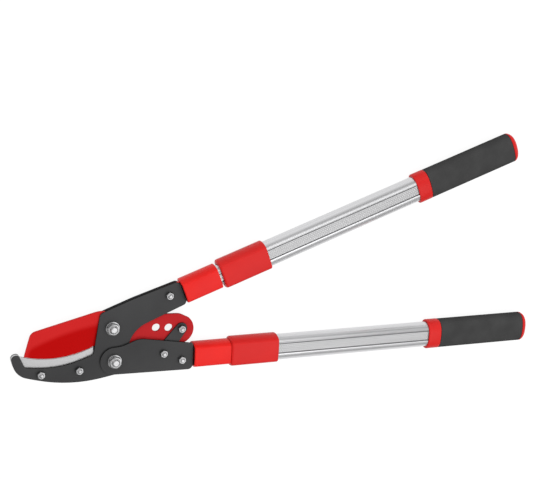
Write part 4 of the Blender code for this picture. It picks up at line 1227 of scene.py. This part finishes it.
def make_floor():
    bm = bmesh.new()
    bmesh.ops.create_grid(bm, x_segments=1, y_segments=1, size=FLOOR_SIZE / 2)
    bmesh.ops.translate(bm, verts=bm.verts, vec=FLOOR_SPOT)
    floor = as_object("floor", bm)
    material = bpy.data.materials.new("white_floor")
    material.use_nodes = True
    tree = material.node_tree
    tree.nodes.remove(tree.nodes["Principled BSDF"])
    white = add_node(tree, "Emission", {"Color": WHITE, "Strength": FLOOR_GLOW})
    shade = add_node(tree, "BsdfDiffuse", {"Color": (FLOOR_SHADE,) * 3 + (1.0,)})
    both = add_node(tree, "AddShader", {0: white.outputs["Emission"], 1: shade.outputs["BSDF"]})
    plain = add_node(tree, "BsdfDiffuse", {"Color": (FLOOR_COLOUR,) * 3 + (1.0,)})
    split_rays(tree, tree.nodes["Material Output"], plain.outputs["BSDF"], both.outputs["Shader"])
    floor.data.materials.append(material)
    return floor


print("floor:", make_floor().name)

# %% [markdown]
# ## Light
#
# A product like this is lit inside a light tent. One plain white dome would leave the metal flat and
# turn the reds pink, so the world has two: one lights the lopper, from overhead and from beyond the
# handles, and one is seen and mirrored, white at the horizon and dimmer overhead and on the near side.
# A softbox hangs over the flat faces, a long one beyond the handles draws the bright line along each
# tube, and a small one stands on the left.

# %% World and softboxes
DOME_HORIZON, DOME_NEAR, DOME_TOP = 1.1, 0.0, 0.88
SEEN_HORIZON, SEEN_NEAR, SEEN_TOP = 1.0, 0.25, 0.55
DOME_HEIGHT, SEEN_HEIGHT = 1.0, 0.45  # where each dome has its top tone, in Z
NEAR_SIDE, NEAR_HEIGHT = (0.1, -0.7), (0.1, 0.18)  # where the near side begins, in Y and in Z


def make_world():
    world = bpy.data.worlds.new("light_tent")
    world.use_nodes = True
    tree = world.node_tree
    tree.nodes.clear()
    direction = add_node(tree, "SeparateXYZ",
                         {"Vector": add_node(tree, "TexCoord").outputs["Generated"]})
    near = arithmetic(tree, "MULTIPLY", soft_step(tree, direction.outputs["Y"], *NEAR_SIDE),
                      soft_step(tree, direction.outputs["Z"], *NEAR_HEIGHT))
    shaders = []
    for far_side, near_side, high, limit in ((DOME_HORIZON, DOME_NEAR, DOME_TOP, DOME_HEIGHT),
                                             (SEEN_HORIZON, SEEN_NEAR, SEEN_TOP, SEEN_HEIGHT)):
        low = remap(tree, near, 0.0, 1.0, far_side, near_side)
        dome = remap(tree, direction.outputs["Z"], 0.0, limit, low, high, interpolation_type="SMOOTHSTEP")
        background = add_node(tree, "Background", {"Color": WHITE, "Strength": dome})
        shaders.append(background.outputs["Background"])
    split_rays(tree, add_node(tree, "OutputWorld"), *shaders)
    bpy.context.scene.world = world


def make_softbox(name, spot, target, size, power):
    data = bpy.data.lights.new(name, "AREA")
    data.shape = "RECTANGLE"
    data.size, data.size_y = size
    data.energy = power
    lamp = add_object(name, data)
    lamp.location = spot
    lamp.rotation_euler = (Vector(target) - Vector(spot)).to_track_quat("-Z", "Y").to_euler()
    return lamp


make_world()
for name, spot, target, size, power in (
        ("overhead", (0.65, -0.55, 1.5), (0.15, 0.0, 0.0), (1.4, 1.0), 7.8),
        ("beyond_the_handles", (0.3, 1.1, 1.45), (0.3, 0.0, 0.0), (2.0, 0.6), 4.2),
        ("from_the_left", (-0.9, 0.9, 1.2), (0.1, 0.0, 0.0), (0.8, 0.8), 1.5)):
    print(make_softbox(name, spot, target, size, power).name, power, "W")

# %% [markdown]
# ## View settings
#
# The picture's colours are written as they are meant, so the plainest view transform shows them best.

# %% View settings
bpy.context.scene.view_settings.view_transform = "Standard"
bpy.context.view_layer.update()
